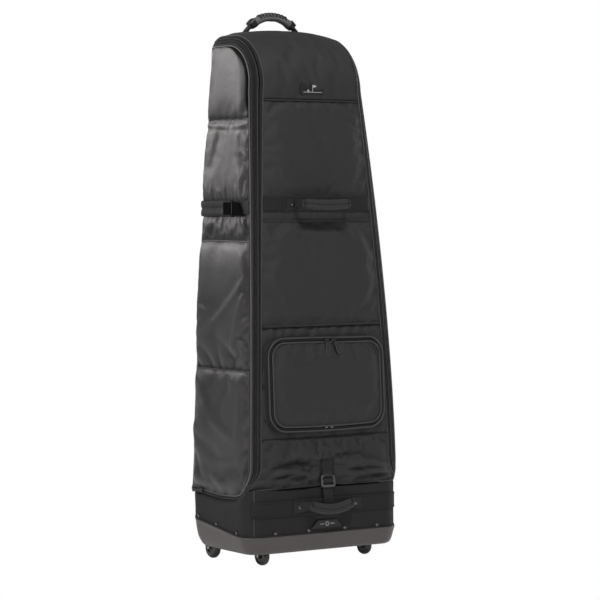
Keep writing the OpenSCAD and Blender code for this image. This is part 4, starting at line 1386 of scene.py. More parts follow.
def tub_mesh():
    rows = []

    def add(ring, z):
        rows.append(np.concatenate([ring, np.zeros((len(ring), 1)) + np.reshape(z, (-1, 1))], 1))

    for z, *plan in TUB_OUTER:
        add(base_loop(*plan), z)
    rim_z = tub_rim(base_loop(TUB_W, -139, 130, TUB_R)[:, 1])
    for t, w, inset in ((0.45, 222.6, 0.8), (0.8, 223.6, 0.3)):
        add(base_loop(w, -139 + inset, 130 - inset * 4, 44.5), 56 + (rim_z - 56 - 5) * t)
    for dz, w in TUB_LIP:
        add(base_loop(w, -139 - (w - TUB_W), 130 + (w - TUB_W), TUB_R), rim_z + dz)
    add(base_loop(220.0, -135, 126, 42), rim_z - 6.0)
    for z, *plan in TUB_INNER:
        add(base_loop(*plan), z)
    grid = np.stack(rows)
    n = grid.shape[1]
    faces = grid_faces(len(rows) - 1, n, 0, True, True)
    faces.append(tuple(range(n)))
    faces.append(tuple(range((len(rows) - 1) * n, len(rows) * n))[::-1])
    return make_object("tub", grid.reshape(-1, 3), faces, "tub", None, 35)


# rear wheel in metres
_low, _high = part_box("rear_wheel_right")
WHEEL_X, WHEEL_Y, WHEEL_Z = ((a + b) / 2 for a, b in zip(_low, _high))
WHEEL_R = (_high.z - _low.z) / 2
WELL_R, WELL_WIDE = WHEEL_R + 0.0062, 0.0308


def build_tub():
    """Moulded tub with wells for the casters and the rear wheels cut out."""
    tub = tub_mesh()
    cutters = []
    for s in (-1, 1):
        bm = bmesh.new()
        bmesh.ops.create_cone(
            bm, cap_ends=True, segments=48, radius1=0.0405, radius2=0.0405, depth=0.06,
            matrix=Matrix.Translation((s * 0.158, (-83 + FRAME_Y) / 1000, 0.035)))
        cutters.append(solid("cut", bm))
        bm = bmesh.new()
        bmesh.ops.create_cone(
            bm, cap_ends=True, segments=56, radius1=WELL_R, radius2=WELL_R, depth=WELL_WIDE,
            matrix=Matrix.Translation((s * WHEEL_X, WHEEL_Y, WHEEL_Z))
            @ Matrix.Rotation(math.radians(90), 4, "Y"))
        bmesh.ops.create_cube(
            bm, size=1.0, matrix=Matrix.Translation((s * WHEEL_X, WHEEL_Y, WHEEL_Z - 0.02))
            @ Matrix.Diagonal((WELL_WIDE, WELL_R * 2, 0.04, 1)))
        cutters.append(solid("cut", bm))
    cut(tub, cutters)
    shade_smooth(tub.data, 35)
    attach(tub, "shell")
    stands_for(tub, "tub_plastic", "base_tub")


# (y, z) outline in mm of what is trimmed off the rear of a wheel hood
HOOD_TRIM = ((94, -10), (94, 31), (103, 36), (111, 44), (118, 56), (125, 80), (190, 80),
             (190, -10))


def build_wheel_hood(side, s):
    """Arched hood over a rear wheel."""
    def arc(radius, start):
        return [(WHEEL_Y + radius * math.cos(a), WHEEL_Z + radius * math.sin(a))
                for a in np.linspace(start, math.pi - start, 33)]

    outer, inner, below = WHEEL_R + 0.0058, WHEEL_R + 0.0036, WHEEL_Z - 0.05
    x = s * WHEEL_X
    hood = prism("pod", arc(outer, math.asin(0.006 / outer)), x, 0.0298 / 2)
    hollow = prism("pod", [(WHEEL_Y + inner, below)] + arc(inner, 0.0)
                   + [(WHEEL_Y - inner, below)], x, 0.0250 / 2)
    trim = prism("trim", [((y + FRAME_Y) / 1000, z / 1000) for y, z in HOOD_TRIM], x, 0.03)
    cut(hood, [hollow, trim])
    hood.name = f"wheel_hood_{side}"
    hood.data.materials.clear()
    hood.data.materials.append(M["black"])
    shade_smooth(hood.data, 35)
    attach(hood, "shell")
    stands_for(hood, "black_plastic", "wheel_housing_" + side)


SKIRT_W, SKIRT_FRONT, SKIRT_TOP = 223.3, -138.3, 188.6


def skirt_grid():
    seam = SEAM[SEAM[:, 2] < 236]
    seam = seam[np.argsort(seam[:, 1])]
    rows = []
    for t in np.linspace(0, 1, 15):
        inset = 2.2 * smooth(0.93, 1.0, t)
        ring = base_loop(SKIRT_W - inset, SKIRT_FRONT + inset * 0.6, 129.6 - inset * 0.2,
                         TUB_R, 31 - 4 * t)
        x, y = ring[:, 0], ring[:, 1]
        top = np.minimum(SKIRT_TOP, np.interp(y, seam[:, 1], seam[:, 2]) + 0.5)
        top = np.where(y < -119, SKIRT_TOP, top)
        top = np.where(y > 125, 166, top)
        low = tub_rim(y) - 2.0
        z = low + (top - low) * t
        ripple = 0.5 * np.sin(x * 0.055 + t * 3.0) + 0.4 * np.sin(y * 0.07 - t * 4)
        sink = 0.4 + 0.35 * (1 + ripple) * math.sin(math.pi * t)
        ring = ring - base_normals(ring)[:, :2] * sink[..., None]
        rows.append(np.concatenate([ring, z[:, None]], 1))
    return np.stack(rows)


def skirt_path(z, off):
    """Points over the front of the skirt from the left corner to the right one."""
    ring = base_loop(SKIRT_W + off, SKIRT_FRONT - off, 128.8, TUB_R + off,
                     long=40, short=20, turn=20)
    ring = ring[ring[:, 1] < -126.2]
    ring = ring[np.argsort(ring[:, 0])]
    return np.concatenate([ring, np.full((len(ring), 1), z)], 1)


def build_skirt():
    """Fabric skirt above the tub, with its band, threads, corner cords and hem."""
    grid = skirt_grid()
    ring = base_loop(SKIRT_W, SKIRT_FRONT, 129.6, TUB_R, 31)
    skirt = shell("skirt", grid, 2.6, "skirt", base_normals(ring, 83)[None], "shell", wrap=True)
    stands_for(skirt, "front_fabric", "base_skirt")
    edge = grid[-1][grid[-1][:, 1] < -127.5]
    edge = edge[np.argsort(edge[:, 0])] + np.array([0, -0.2, -0.6])
    sweep("skirt_top_edge", edge, (0, -0.5, 1.0), circle(1.3, 7), "piping_m", "shell")
    low, high = skirt_path(120.0, 1.9), skirt_path(158.0, 1.9)
    grid = np.stack([low + (high - low) * t for t in np.linspace(0, 1, 6)])
    grid[..., 1] -= (0.3 * np.sin(grid[..., 0] * 0.11)
                     * np.sin(np.pi * (grid[..., 2] - 120) / 38))
    stands_for(shell("skirt_web", grid, 2.0, "band", FRONT, "shell"), "band_fabric",
               "skirt_band")
    for k, z in enumerate((123.0, 155.0)):
        path = resample(skirt_path(z, 2.1), 5)
        stitches(f"skirt_thread{k}", path, base_normals(path[:, :2], 83), "shell")
    turn = math.radians(54)
    for side, s in SIDES:
        z = np.linspace(74, 187, 14)
        path = np.stack([np.full_like(z, s * (178.3 + 44.6 * math.cos(turn))),
                         np.full_like(z, -93.3 - 44.6 * math.sin(turn)), z], 1)
        sweep("corner_cord_" + side, path, (s * 0.7, -0.7, 0), circle(1.2, 8), "piping_m",
              "shell")
    ring = base_loop(223.9, -138.9, 130.0, TUB_R, 33)
    path = np.concatenate([ring, (tub_rim(ring[:, 1]) + 2.2)[:, None]], 1)
    sweep("skirt_hem", path, base_normals(ring), rrect(1.3, 4.2, 0.5, 2)[:, ::-1], "band",
          "shell", closed=True)


# ---------------------------------------------------------------- label and crest
def disc(x, z, radius, count):
    return [(x + radius * math.cos(a), z + radius * math.sin(a))
            for a in np.linspace(0, 2 * math.pi, count, endpoint=False)]


def build_label():
    """Label patch over the tub: two rules, and a ring between two bars."""
    label = plate("label_plate", [(-46.5, 84.6), (46.5, 84.6), (28, 104.5), (-28, 104.5)],
                  -138.6, 2.2, "badge", 0.8)
    stands_for(label, "badge", "label_patch")
    y = -140.6
    plate("label_rule0", [(-42.5, 86.2), (42.5, 86.2), (42.0, 86.8), (-42.0, 86.8)],
          y, 0.5, "thread", 0.15)
    plate("label_rule1", [(-26.6, 102.6), (26.6, 102.6), (27.0, 102.1), (-27, 102.1)],
          y, 0.5, "thread", 0.15)
    plate("label_dot", disc(0, 95, 5.5, 20), y, 0.55, "mark", 0.15)
    plate("label_dot_in", disc(0, 95, 3.6, 20), -141.0, 0.5, "badge", 0.15)
    for k, x in enumerate((-15.0, 15.0)):
        plate(f"label_bar{k}", [(x - 6, 94.1), (x + 6, 94.1), (x + 6, 95.9), (x - 6, 95.9)],
              y, 0.5, "mark", 0.15)


def bar(a, b, width):
    """Outline of a straight bar from a to b."""
    a, b = np.array(a, float), np.array(b, float)
    d = unit(b - a)
    n = np.array([-d[1], d[0]]) * width / 2
    return [tuple(a + n), tuple(a - n), tuple(b - n), tuple(b + n)]


def build_crest(y=-76.2, z=1149.5):
    """Woven patch on the hood: a stick with a pennant and a ball on a ground line."""
    cloth = plate("crest_cloth", rrect(70, 28, 5, 4) + np.array([0, z]), y + 0.6, 1.6, "band",
                  0.5)
    stands_for(cloth, "crest", "crest_patch")
    for name, outline in (("rule", bar((-27, 1141.5), (27, 1141.5), 1.3)),
                          ("stick", bar((0, 1141), (0, 1159.5), 1.3)),
                          ("pennant", [(0.6, 1159.5), (0.6, 1152.0), (14, 1155.8)]),
                          ("ball", disc(-13, 1144.9, 2.6, 18))):
        plate("crest_" + name, outline, y - 0.9, 0.7, "mark", 0.2)
    path = close(np.array([(px, y - 1.1, pz + z) for px, pz in rrect(66, 24, 4, 5)]))
    stitches("crest_thread", resample(path, 4), FRONT, "shell", "thread_l", pitch=3.6,
             length=2.4)


# ---------------------------------------------------------------- pocket
def pocket_frame(points):
    """Local (x, up, out) of the pocket to the design frame."""
    points = np.asarray(points, float)
    x, up, out = points[..., 0], points[..., 1], points[..., 2]
    c, s = math.cos(POCKET_TILT), math.sin(POCKET_TILT)
    return np.stack([x, POCKET_Y + up * s - out * c, POCKET_Z + up * c + out * s], -1)


def pocket_dir(vectors):
    return pocket_frame(vectors) - pocket_frame(np.zeros(3))


POCKET_OUT = pocket_dir([0, 0, 1.0])


def pocket_loop(off):
    w, h, r = POCKET_W + off, POCKET_H + off, POCKET_R + off
    points = []

    def line(a, b):
        n = max(2, int(math.hypot(b[0] - a[0], b[1] - a[1]) / 4.0))
        for i in range(n):
            points.append((a[0] + (b[0] - a[0]) * i / n, a[1] + (b[1] - a[1]) * i / n))

    def arc(cx, cy, start):
        for i in range(16):
            a = math.radians(start + 90 * i / 16)
            points.append((cx + r * math.cos(a), cy + r * math.sin(a)))

    line((w, -h + r), (w, h - r))
    arc(w - r, h - r, 0)
    line((w - r, h), (-w + r, h))
    arc(-w + r, h - r, 90)
    line((-w, h - r), (-w, -h + r))
    arc(-w + r, -h + r, 180)
    line((-w + r, -h), (w - r, -h))
    arc(w - r, -h + r, 270)
    return np.array(points)


def pocket_bow(x, y):
    """The zip line bows down: deeper at the bottom, uneven along the top."""
    return (3.2 * np.exp(-((y + POCKET_H) / 30.0) ** 2) * np.cos(x / 95.0)
            + 1.4 * np.exp(-((y - POCKET_H) / 30.0) ** 2) * np.sin(x / 60.0))


def pocket_ring(profile, bow=1.0):
    """Design-frame rows round the pocket for (offset, out) pairs, and the directions away."""
    base = pocket_loop(0)
    core_w, core_h = POCKET_W - POCKET_R, POCKET_H - POCKET_R
    away = unit(base - np.clip(base, [-core_w, -core_h], [core_w, core_h]))
    rows = []
    for off, out in profile:
        p = base + away * off
        rows.append(np.stack([p[:, 0], p[:, 1] - bow * pocket_bow(p[:, 0], p[:, 1]),
                              np.full(len(p), float(out))], 1))
    away = pocket_dir(np.concatenate([away, np.zeros((len(away), 1))], 1))
    return pocket_frame(np.stack(rows)), away


def pocket_strip(name, profile, thick, mat, body):
    grid, _ = pocket_ring(profile)
    return shell(name, grid, thick, mat, POCKET_OUT, body, wrap=True)


def pocket_tube(name, off, out, radius, body):
    path = pocket_ring([(off, out)])[0][0]
    sweep(name, path, POCKET_OUT, circle(radius, 8), "piping_m", body, closed=True)


def build_pocket_zip():
    """Gusset rising from the panel, then the fixed and the moving half of the zip."""
    grid, away = pocket_ring(((20, 1.0), (15, 2.0), (11.5, 5.5), (10.0, 10.5), (9.0, 14.0),
                              (8.2, 15.2)), 0.6)
    shell("pocket_gusset", grid, 2.4, "band", away[None], "shell", wrap=True)
    tape = pocket_strip("pocket_zip_tape_out", ((7.2, 15.0), (6.7, 16.4), (5.6, 16.6),
                                                (4.7, 16.3)), 1.2, "tape", "shell")
    stands_for(tape, "zip_tape", "pocket_zip_frame", "pocket_body")
    pocket_tube("pocket_piping_out", 9.6, 15.4, 2.0, "shell")
    # a black strip in the groove outside the tape, as painted shadow
    pocket_strip("pocket_groove_shadow", ((8.2, 15.0), (7.4, 14.6), (6.6, 14.9)), 0.8, "gap",
                 "shell")
    tape = pocket_strip("pocket_zip_tape_in", ((3.3, 16.3), (2.4, 16.7), (1.5, 16.4),
                                               (1.1, 15.0), (-0.9, 14.9)), 1.2, "tape",
                        "pocket_flap")
    stands_for(tape, "zip_tape", "pocket_zip")
    pocket_tube("pocket_piping_in", -1.2, 17.8, 1.9, "pocket_flap")
    for name, off, body in (("in", 3.65, "pocket_flap"), ("out", 4.35, "shell")):
        rows, away = pocket_ring([(off, 17.0)])
        teeth = resample(close(np.concatenate([rows[0], away], 1)), 2.7)[:-1]
        if name == "out":
            teeth = (teeth + np.roll(teeth, -1, 0)) / 2
        x_axes = unit(teeth[:, 3:6])
        z_axes = np.repeat(POCKET_OUT[None], len(teeth), 0)
        rods(f"pocket_coil_{name}", 2.5, 0.72, teeth[:, :3], x_axes, np.cross(z_axes, x_axes),
             z_axes, "coil", body)


# from (x, up) to (x, up) on the pocket, half width, height, bow
POCKET_CREASES = (
    (-135, 80, -90, 20, 12, 1.6, 5), (-120, -50, 0, -78, 9, 1.8, -8),
    (20, -82, 130, -60, 8, 1.8, 6), (140, 70, 90, 10, 14, 1.4, -5),
    (-60, 60, 60, 40, 18, 1.0, 5), (-130, 0, -60, -30, 12, 1.2, 0),
    (70, -20, 130, -50, 12, -1.2, 0), (-30, 84, 60, 80, 6, 1.4, 0),
)


def pocket_grid():
    inset = 1.5
    half, corner = POCKET_W - inset, POCKET_R - inset
    straight = POCKET_H - POCKET_R
    a = np.linspace(0, 90, 9)
    ups = list(-POCKET_H + POCKET_R - corner * np.sin(np.radians(90 - a)))
    ups = ups + [-y for y in ups] + list(np.linspace(-straight, straight, 20))
    ups = sorted(set(round(y, 3) for y in ups))
    grid = np.zeros((len(ups), 45, 3))
    for j, y in enumerate(ups):
        d = max(0.0, abs(y) - straight)
        wide = half
        if d > 0:
            wide = half - corner + math.sqrt(max(0.0, corner**2 - d * d))
        grid[j, :, 0] = np.linspace(-1, 1, 45) * wide
        grid[j, :, 1] = y
    grid[..., 1] -= pocket_bow(grid[..., 0], grid[..., 1])
    u, v = grid[..., 0] / half, grid[..., 1] / (POCKET_H - inset)
    edge = np.minimum(1 - np.abs(u), 1 - np.abs(v))
    grid[..., 2] = 16.6 + (5.5 * (1 - np.abs(np.clip(u, -1, 1)) ** 5)
                           * (1 - np.abs(np.clip(v, -1, 1)) ** 4))
    for row in POCKET_CREASES:
        grid[..., 2] += crease(grid[..., 0], grid[..., 1], *row) * smooth(0, 0.1, edge)
    return pocket_frame(grid)


def build_pocket_front():
    """Padded, slightly puckered panel with a row of stitches inside its edge."""
    grid = pocket_grid()
    cloth = relax(grid, edge_pins(grid), pressure=1.4, grow=0.014, frames=18, bend=0.7,
                  stiff=12, cap=4.5, outward=FRONT, noise=0.9, seed=36)
    panel = shell("pocket_front", cloth, 3.0, "front", FRONT, "pocket_flap", subdivide=True)
    stands_for(panel, "front_fabric", "pocket_flap")
    points = cloth.reshape(-1, 3)
    tree = KDTree(len(points))
    for i, c in enumerate(points):
        tree.insert(Vector(c), i)
    tree.balance()
    out = np.array([0, -math.cos(POCKET_TILT), math.sin(POCKET_TILT)])

    def on_cloth(x, y):
        """Just over the cloth near local (x, y), by its four nearest vertices."""
        base = pocket_frame([x, y, 17.0])
        hits = tree.find_n(Vector(base), 4)
        w = np.array([1 / (hit[2] + 0.5) for hit in hits])
        w /= w.sum()
        near = sum(np.array(hit[0]) * k for hit, k in zip(hits, w))
        return base + out * (np.dot(near - base, out) + 0.2)

    ring = close(pocket_loop(-7.5))
    path = close(np.array([on_cloth(x, y) for x, y in ring[::2]]))
    stitches("pocket_thread", path, out, "pocket_flap")


def build_pocket_pull(side, x, angle):
    """Moulded tab with a raised rim, on a short cord loop; hinge at x, turned by angle."""
    a = math.radians(angle)
    hinge = np.array([x, 104 + 3.2, 15 + 10.0])
    dx = np.array([math.cos(a), math.sin(a), 0])
    dy = np.array([-math.sin(a), math.cos(a), 0])
    dz = np.array([0, 0, 1.0])
    body = "pocket_pull_" + side

    def local(p):
        p = np.asarray(p, float)
        return pocket_frame(hinge + p[..., :1] * dx + p[..., 1:2] * dy + p[..., 2:] * dz)

    out = local(dz) - local(np.zeros(3))
    # place along the tab and its width there
    stations = np.array([(-7.5, 0.5), (-8.1, 0.72), (-9.5, 0.92), (-24, 1.0), (-36.5, 1.0),
                         (-38.4, 0.94), (-39.2, 0.8)])
    path = local(np.stack([np.zeros(7), stations[:, 0], np.full(7, -0.2)], 1))
    wide = stations[:, 1]
    tab = sweep(f"pocket_pull_tab_{side}", path, out, rrect(12.6, 2.4, 0.9, 3), "pull", body,
                scale=np.stack([wide, np.minimum(1, wide + 0.15)], 1))
    stands_for(tab, "pull_rubber", body)
    rim = rrect(10.2, 26, 1.6, 4) + np.array([0, -24.0])
    sweep(f"pocket_pull_rim_{side}", local(np.concatenate([rim, np.ones((len(rim), 1))], 1)),
          out, circle(0.8, 6), "pull_rim", body, closed=True)
    cord = ([(2.4, -8.5, -0.2), (2.5, -4.0, 0.2)]
            + [(2.5 * math.cos(t), -1.0 + 2.5 * math.sin(t), 0.6)
               for t in np.linspace(0, math.pi, 14)]
            + [(-2.5, -4.0, 0.2), (-2.4, -8.5, -0.2)])
    sweep(f"pocket_pull_cord_{side}", local(resample(np.array(cord), 1.6)), out,
          circle(0.95, 7), "web", body)


def build_pocket_slider(side, x, s):
    """Wedge-shaped slider with a bridge; local x across the zip, y along it, z out."""
    def local(p):
        p = np.asarray(p, float)
        return pocket_frame(np.stack([x + s * p[..., 1], POCKET_H + 4.2 - p[..., 0],
                                      18.2 + p[..., 2] * 0.9], -1))

    origin = local(np.zeros(3))
    out = unit(local([0, 0, 1.0]) - origin)
    # place along the slider and its width there
    stations = np.array([(-5.2, 0.55), (-4.6, 0.68), (-2, 0.74), (1.5, 0.95), (4.2, 1.05),
                         (5.4, 0.9)])
    parts = []
    for z in (-0.2, 2.0):
        path = local(np.stack([np.zeros(6), stations[:, 0], np.full(6, z)], 1))
        parts.append(sweep("slider_plate", path, out, rrect(9.4, 1.3, 0.45, 2), "slider",
                           scale=np.stack([stations[:, 1], np.ones(6)], 1)))
    bridge = resample(np.array([(0, -3.6, 2.4), (0, -3.4, 4.2), (0, -1.0, 5.0), (0, 2.0, 5.0),
                                (0, 4.0, 4.2), (0, 4.3, 2.4)]), 1.2)
    parts.append(sweep("slider_bridge", local(bridge), unit(local([1.0, 0, 0]) - origin),
                       rrect(1.0, 2.2, 0.3, 2), "slider"))
    slider = join(parts, "pocket_slider_body_" + side)
    attach(slider, "pocket_slider_" + side)
    stands_for(slider, "zip_metal", "pocket_slider_" + side)


def build_pocket():
    build_pocket_zip()
    build_pocket_front()
    build_pocket_pull("left", -1, 0)
    build_pocket_pull("right", 20, 20)
    build_pocket_slider("left", -1, -1)
    build_pocket_slider("right", 20, 1)
    # zip stops at the bottom: two little crimped tabs
    for k, x in enumerate((-8, 8)):
        low = -POCKET_H - 4.6
        path = pocket_frame([[x - 4, low, 17.6], [x + 4, low, 17.6]])
        sweep(f"pocket_stop_{k}", path, FRONT, rrect(5.4, 2.0, 0.6, 3), "rivet", "pocket_flap")


# ---------------------------------------------------------------- buckle and its strap
# (y, z) points of webbing on the middle plane
BUCKLE_TAIL = ((-138.9, 206.5), (-140.2, 206.0), (-143.4, 205.6), (-146.0, 204.0),
               (-146.9, 200.5), (-146.0, 196.6), (-142.0, 194.4), (-140.0, 191.5),
               (-139.9, 186), (-141.8, 178), (-144.6, 168), (-145.6, 156), (-145.2, 142.5))
TAIL_HEM = ((-145.6, 141.6), (-146.4, 141.4), (-147.3, 142.4), (-147.4, 150.5))
BUCKLE_LOOP = ((-138.0, 247), (-138.4, 238), (-138.9, 226), (-140.0, 216.5), (-143.4, 214.4),
               (-145.6, 212.0), (-145.4, 209.0), (-142.8, 207.6), (-139.6, 208.4),
               (-138.8, 212), (-138.2, 220))


def build_ladder_lock(y=-143.2):
    """Four-sided frame with two cross bars."""
    centre = np.array([0.5, 199.0])
    corners = np.array([(-21, 214.5), (19.5, 214), (22.5, 184), (-20, 184.5)], float)
    ring = np.array([corners[i] * (1 - t) + corners[(i + 1) % 4] * t
                     for i in range(4) for t in np.linspace(0.12, 0.88, 9)])
    ring = centre + (ring - centre) * 0.86
    path = np.stack([ring[:, 0], y + 0.05 * (ring[:, 1] - 199), ring[:, 1]], 1)
    parts = [sweep("lock_frame", path, FRONT, rrect(5.0, 4.2, 1.3, 3), "buckle", closed=True)]
    for z, width in ((199.2, 4.6), (187.4, 5.6)):
        path = resample(np.array([(-18.5, y, z), (0.0, y - 0.7, z), (19.5, y, z)]), 3)
        parts.append(sweep("lock_bar", path, FRONT, rrect(width, 3.6, 1.2, 3), "buckle"))
    lock = join(parts, "ladder_lock")
    attach(lock, "shell")
    stands_for(lock, "buckle_plastic", "strap_buckle")


def build_buckle():
    build_ladder_lock()
    tail, hem, loop = ([(0, y, z) for y, z in table]
                       for table in (BUCKLE_TAIL, TAIL_HEM, BUCKLE_LOOP))
    stands_for(webbing("buckle_strap_tail", tail, 27, 1.5, "web", "shell"), "webbing",
               "buckle_webbing")
    webbing("buckle_tail_hem", hem, 28.6, 1.6, "web", "shell")
    stands_for(webbing("buckle_loop", loop, 26, 1.4, "web", "shell"), "webbing",
               "buckle_anchor")
    plate("buckle_anchor_patch", rrect(30, 23, 1.5, 3) + np.array([0, 237.5]), -137.4, 2.2,
          "web", 0.6)
    # box stitch: two level rows and a cross
    x, low, high = 12, 228.5, 246.5
    for k, (x0, z0, x1, z1) in enumerate(((-x, low, x, low), (-x, high, x, high),
                                          (-x, low, x, high), (-x, high, x, low))):
        path = resample(np.array([(x0, -139.8, z0), (x1, -139.8, z1)]), 3)
        stitches(f"anchor_box_{k}", path, FRONT, "shell", pitch=3.2, length=2.2)


# ---------------------------------------------------------------- carry handles on the front
BAND_Y = float(front_y(870)) - 8
LOWER_RIVET_X, MID_RIVET_X, MID_HANDLE_Z = 82, 75, 869


def peanut(scale=1.0, a=6.0, r=6.6, n=8):
    """Two circles of radius r, centres +-a along the first axis, joined by a waist."""
    open_ = math.radians(52)
    waist = r * 0.62 * 0.9
    points = [(a + r * math.cos(t), r * math.sin(t))
              for t in np.linspace(-math.pi + open_, math.pi - open_, 2 * n)]
    points.append((0, waist))
    points += [(-a + r * math.cos(t), r * math.sin(t))
               for t in np.linspace(open_, 2 * math.pi - open_, 2 * n)]
    points.append((0, -waist))
    return np.array(points) * scale


def build_carry_handle(name, *, z, base_y, grip_y, rivet_x, grip_half, end_z, mid_z, blend_ys):
    """Two padded tubes sewn side by side between webbing tabs. z is the rivets' height, end_z
    and mid_z the grip's; blend_ys gives two points of the body tuple, which attach does not blend."""
    body = ("shell", name, *(frame_point(y, z / 1000) for y in blend_ys))
    x = np.linspace(-grip_half, grip_half, 41)
    u = x / grip_half
    path = np.stack([x, grip_y + 5.0 * np.abs(u) ** 3,
                     mid_z + (end_z - mid_z) * np.abs(u) ** 1.8], 1)
    taper = 1 - 0.20 * np.abs(u) ** 8
    pucker = 1 + 0.022 * np.sin(x * 0.62) * (0.4 + np.abs(u)) + 0.012 * np.sin(x * 1.9)
    grip = sweep(name + "_grip", path, FRONT, peanut(), "grip_cloth_painted_lighter", body,
                 scale=np.stack([taper, taper * pucker], 1), sharp=180)
    stands_for(grip, "front_fabric", name)
    # stitched waist
    stitches(name + "_thread", path + np.array([0, -4.4, 0]), FRONT, body)
    for side, s in (SIDES):
        # webbing tab: flat on the band round the rivet, then up and over into the grip
        lift = end_z - z
        points = np.array([
            (s * (rivet_x + 17), base_y + 0.6, z), (s * (rivet_x + 8), base_y, z),
            (s * rivet_x, base_y - 0.3, z), (s * (rivet_x - 7), base_y - 1.6, z + lift * 0.25),
            (s * (grip_half + 5.5), base_y - 8, z + lift * 0.6),
            (s * (grip_half + 1.5), (base_y + grip_y) / 2 - 2, z + lift * 0.85),
            (s * (grip_half - 2.0), grip_y + 7.5, end_z),
            (s * (grip_half - 10), grip_y + 2.5, end_z - (end_z - mid_z) * 0.25)])
        tab = soften(resample(points, 2.2), 3)
        out = unit(np.cross(tangents(tab), np.array([UP])))
        if out[0, 1] > 0:
            out = -out
        t = np.linspace(0, 1, len(tab))
        width = 27 - 9 * smooth(0.35, 0.8, t)
        thick = 2.0 + 2.6 * smooth(0.45, 0.85, t)
        profile = np.stack([rrect(w, float(h), 0.9, 3) for w, h in zip(width, thick)])
        sweep(f"{name}_tab_{side}", tab, out, profile, "web", body)
        # gathered collar where the wrap closes over the webbing
        for k in range(3):
            cx = s * (grip_half - 1.5 - 2.6 * k)
            cu = cx / grip_half
            centre = np.array([cx, grip_y + 5.0 * abs(cu) ** 3,
                               mid_z + (end_z - mid_z) * abs(cu) ** 1.8])
            ring = peanut(0.86 + 0.02 * k)
            ring = centre + np.stack([np.zeros(len(ring)), -ring[:, 1], ring[:, 0]], 1)
            sweep(f"{name}_collar_{side}{k}", ring, (1.0, 0, 0), circle(0.9, 6), "band", body,
                  closed=True)


def build_carry_handles():
    build_carry_handle("lower_handle", z=140, base_y=-142.6, grip_y=-163.0,
                       rivet_x=LOWER_RIVET_X, grip_half=62, end_z=145.5, mid_z=132.5,
                       blend_ys=(-143.5, -152.0))
    build_carry_handle("mid_handle", z=MID_HANDLE_Z, base_y=BAND_Y + 1.0, grip_y=BAND_Y - 38.0,
                       rivet_x=MID_RIVET_X, grip_half=68, end_z=871.5, mid_z=868.0,
                       blend_ys=(BAND_Y - 0.8, BAND_Y - 12))


# ---------------------------------------------------------------- top handle
ARCH_R, ARCH_Y = 96.05, 106.0
ARCH_Z = 1292 + 40 - ARCH_R
GRIP_FROM, GRIP_SPAN = 53, 74  # degrees along the arch


def arch(start, end, count):
    a = np.radians(np.linspace(start, end, count))
    path = np.stack([ARCH_R * np.cos(a), np.full(count, ARCH_Y), ARCH_Z + ARCH_R * np.sin(a)], 1)
    return path, np.stack([np.cos(a), np.zeros(count), np.sin(a)], 1), np.degrees(a)


def build_top_grip():
    """Rubber grip that flares at both ends, with finger waves along its underside."""
    path, out, angles = arch(GRIP_FROM, GRIP_FROM + GRIP_SPAN, 181)
    t = (angles - GRIP_FROM) / GRIP_SPAN
    flare = smooth(0.22, 0.47, np.abs(t - 0.5))
    end = np.minimum(1, np.sqrt(np.clip(np.minimum(t, 1 - t) / 0.03, 0, 1)) * 0.12 + 0.88)
    ring = circle(10.2, 20)
    profile = np.zeros((len(t), *ring.shape))
    for j in range(len(t)):
        profile[j] = ring * np.array([0.98 + 0.08 * flare[j], 0.88 + 0.28 * flare[j]]) * end[j]
        finger = 1 + 0.05 * math.cos((t[j] - 0.5) * 26) * (1 - flare[j])
        profile[j][:, 1] *= np.where(ring[:, 1] < 0, finger, 1.0)
    grip = sweep("top_grip", path, out, profile, "grip", "top_handle", sharp=60)
    stands_for(grip, "grip_rubber", "top_handle_grip")


def build_top_ribs():
    """Raised black ribs over the top of the grip."""
    ribs = []
    for t in np.linspace(0.205, 0.775, 9):
        a = math.radians(GRIP_FROM + GRIP_SPAN * t)
        centre = np.array([ARCH_R * math.cos(a), ARCH_Y, ARCH_Z + ARCH_R * math.sin(a)])
        out = np.array([math.cos(a), 0, math.sin(a)])
        turn = np.radians(np.linspace(-68, 68, 13))
        lift = 2.3 * np.cos(turn) ** 0.5
        path = (centre + out * ((9.3 + lift) * np.cos(turn))[:, None]
                + np.array([0, 1.0, 0]) * ((10.2 + lift) * np.sin(turn))[:, None])
        ribs.append(sweep("rib", path, path - centre, rrect(5.2, 3.4, 1.6, 3), "black",
                          sharp=50))
    attach(join(ribs, "top_grip_ribs"), "top_handle")


def build_top_end(side, s):
    """Webbing strap, moulded collar and sewn anchor at one end of the top handle."""
    right = s > 0
    path, out, _ = arch(*((33.5, 58) if right else (122, 146.5)), 24)
    t = np.linspace(0, 1, 24) if right else np.linspace(1, 0, 24)
    profile = np.stack([rrect(w, 8.6 - 1.4 * q, 2.6, 3) for w, q in zip(17 - 3 * t, t)])
    strap = sweep(f"top_strap_{side}", path, out, profile, "web")
    if not right:
        stands_for(strap, "webbing", "top_handle_strap")
    attach(strap, ("shell", "top_handle", frame_point(ARCH_Y, 1.290),
                   frame_point(ARCH_Y, 1.303)))
    path, out, _ = arch(*((49.5, 57.5) if right else (121.0, 130.5)), 9)
    profile = np.stack([
        rrect(22.2, 19.5 + 3.0 * float(smooth(0, 1, q if right else 1 - q)), 5, 4)
        + np.array([0, 1.2]) for q in np.linspace(0, 1, 9)])
    sweep(f"top_collar_{side}", path, out, profile, "black", "top_handle")
    points = [(s * x, ARCH_Y, z) for x, z in ((112, 1288.2), (100, 1290.2), (88, 1291.6),
                                              (80, 1293.2))]
    anchor = webbing(f"top_anchor_{side}", points, 26, 2.6, "web", "shell", across=BACK)
    if not right:
        stands_for(anchor, "webbing", "top_handle_anchors")
    box = np.array([(s * x, ARCH_Y + dy, z) for x, dy, z in (
        (108, -9, 1290.6), (90, -9, 1293.0), (90, 9, 1293.0), (108, 9, 1290.6))])
    stitches(f"top_anchor_thread_{side}", resample(close(box), 3), UP, "shell")


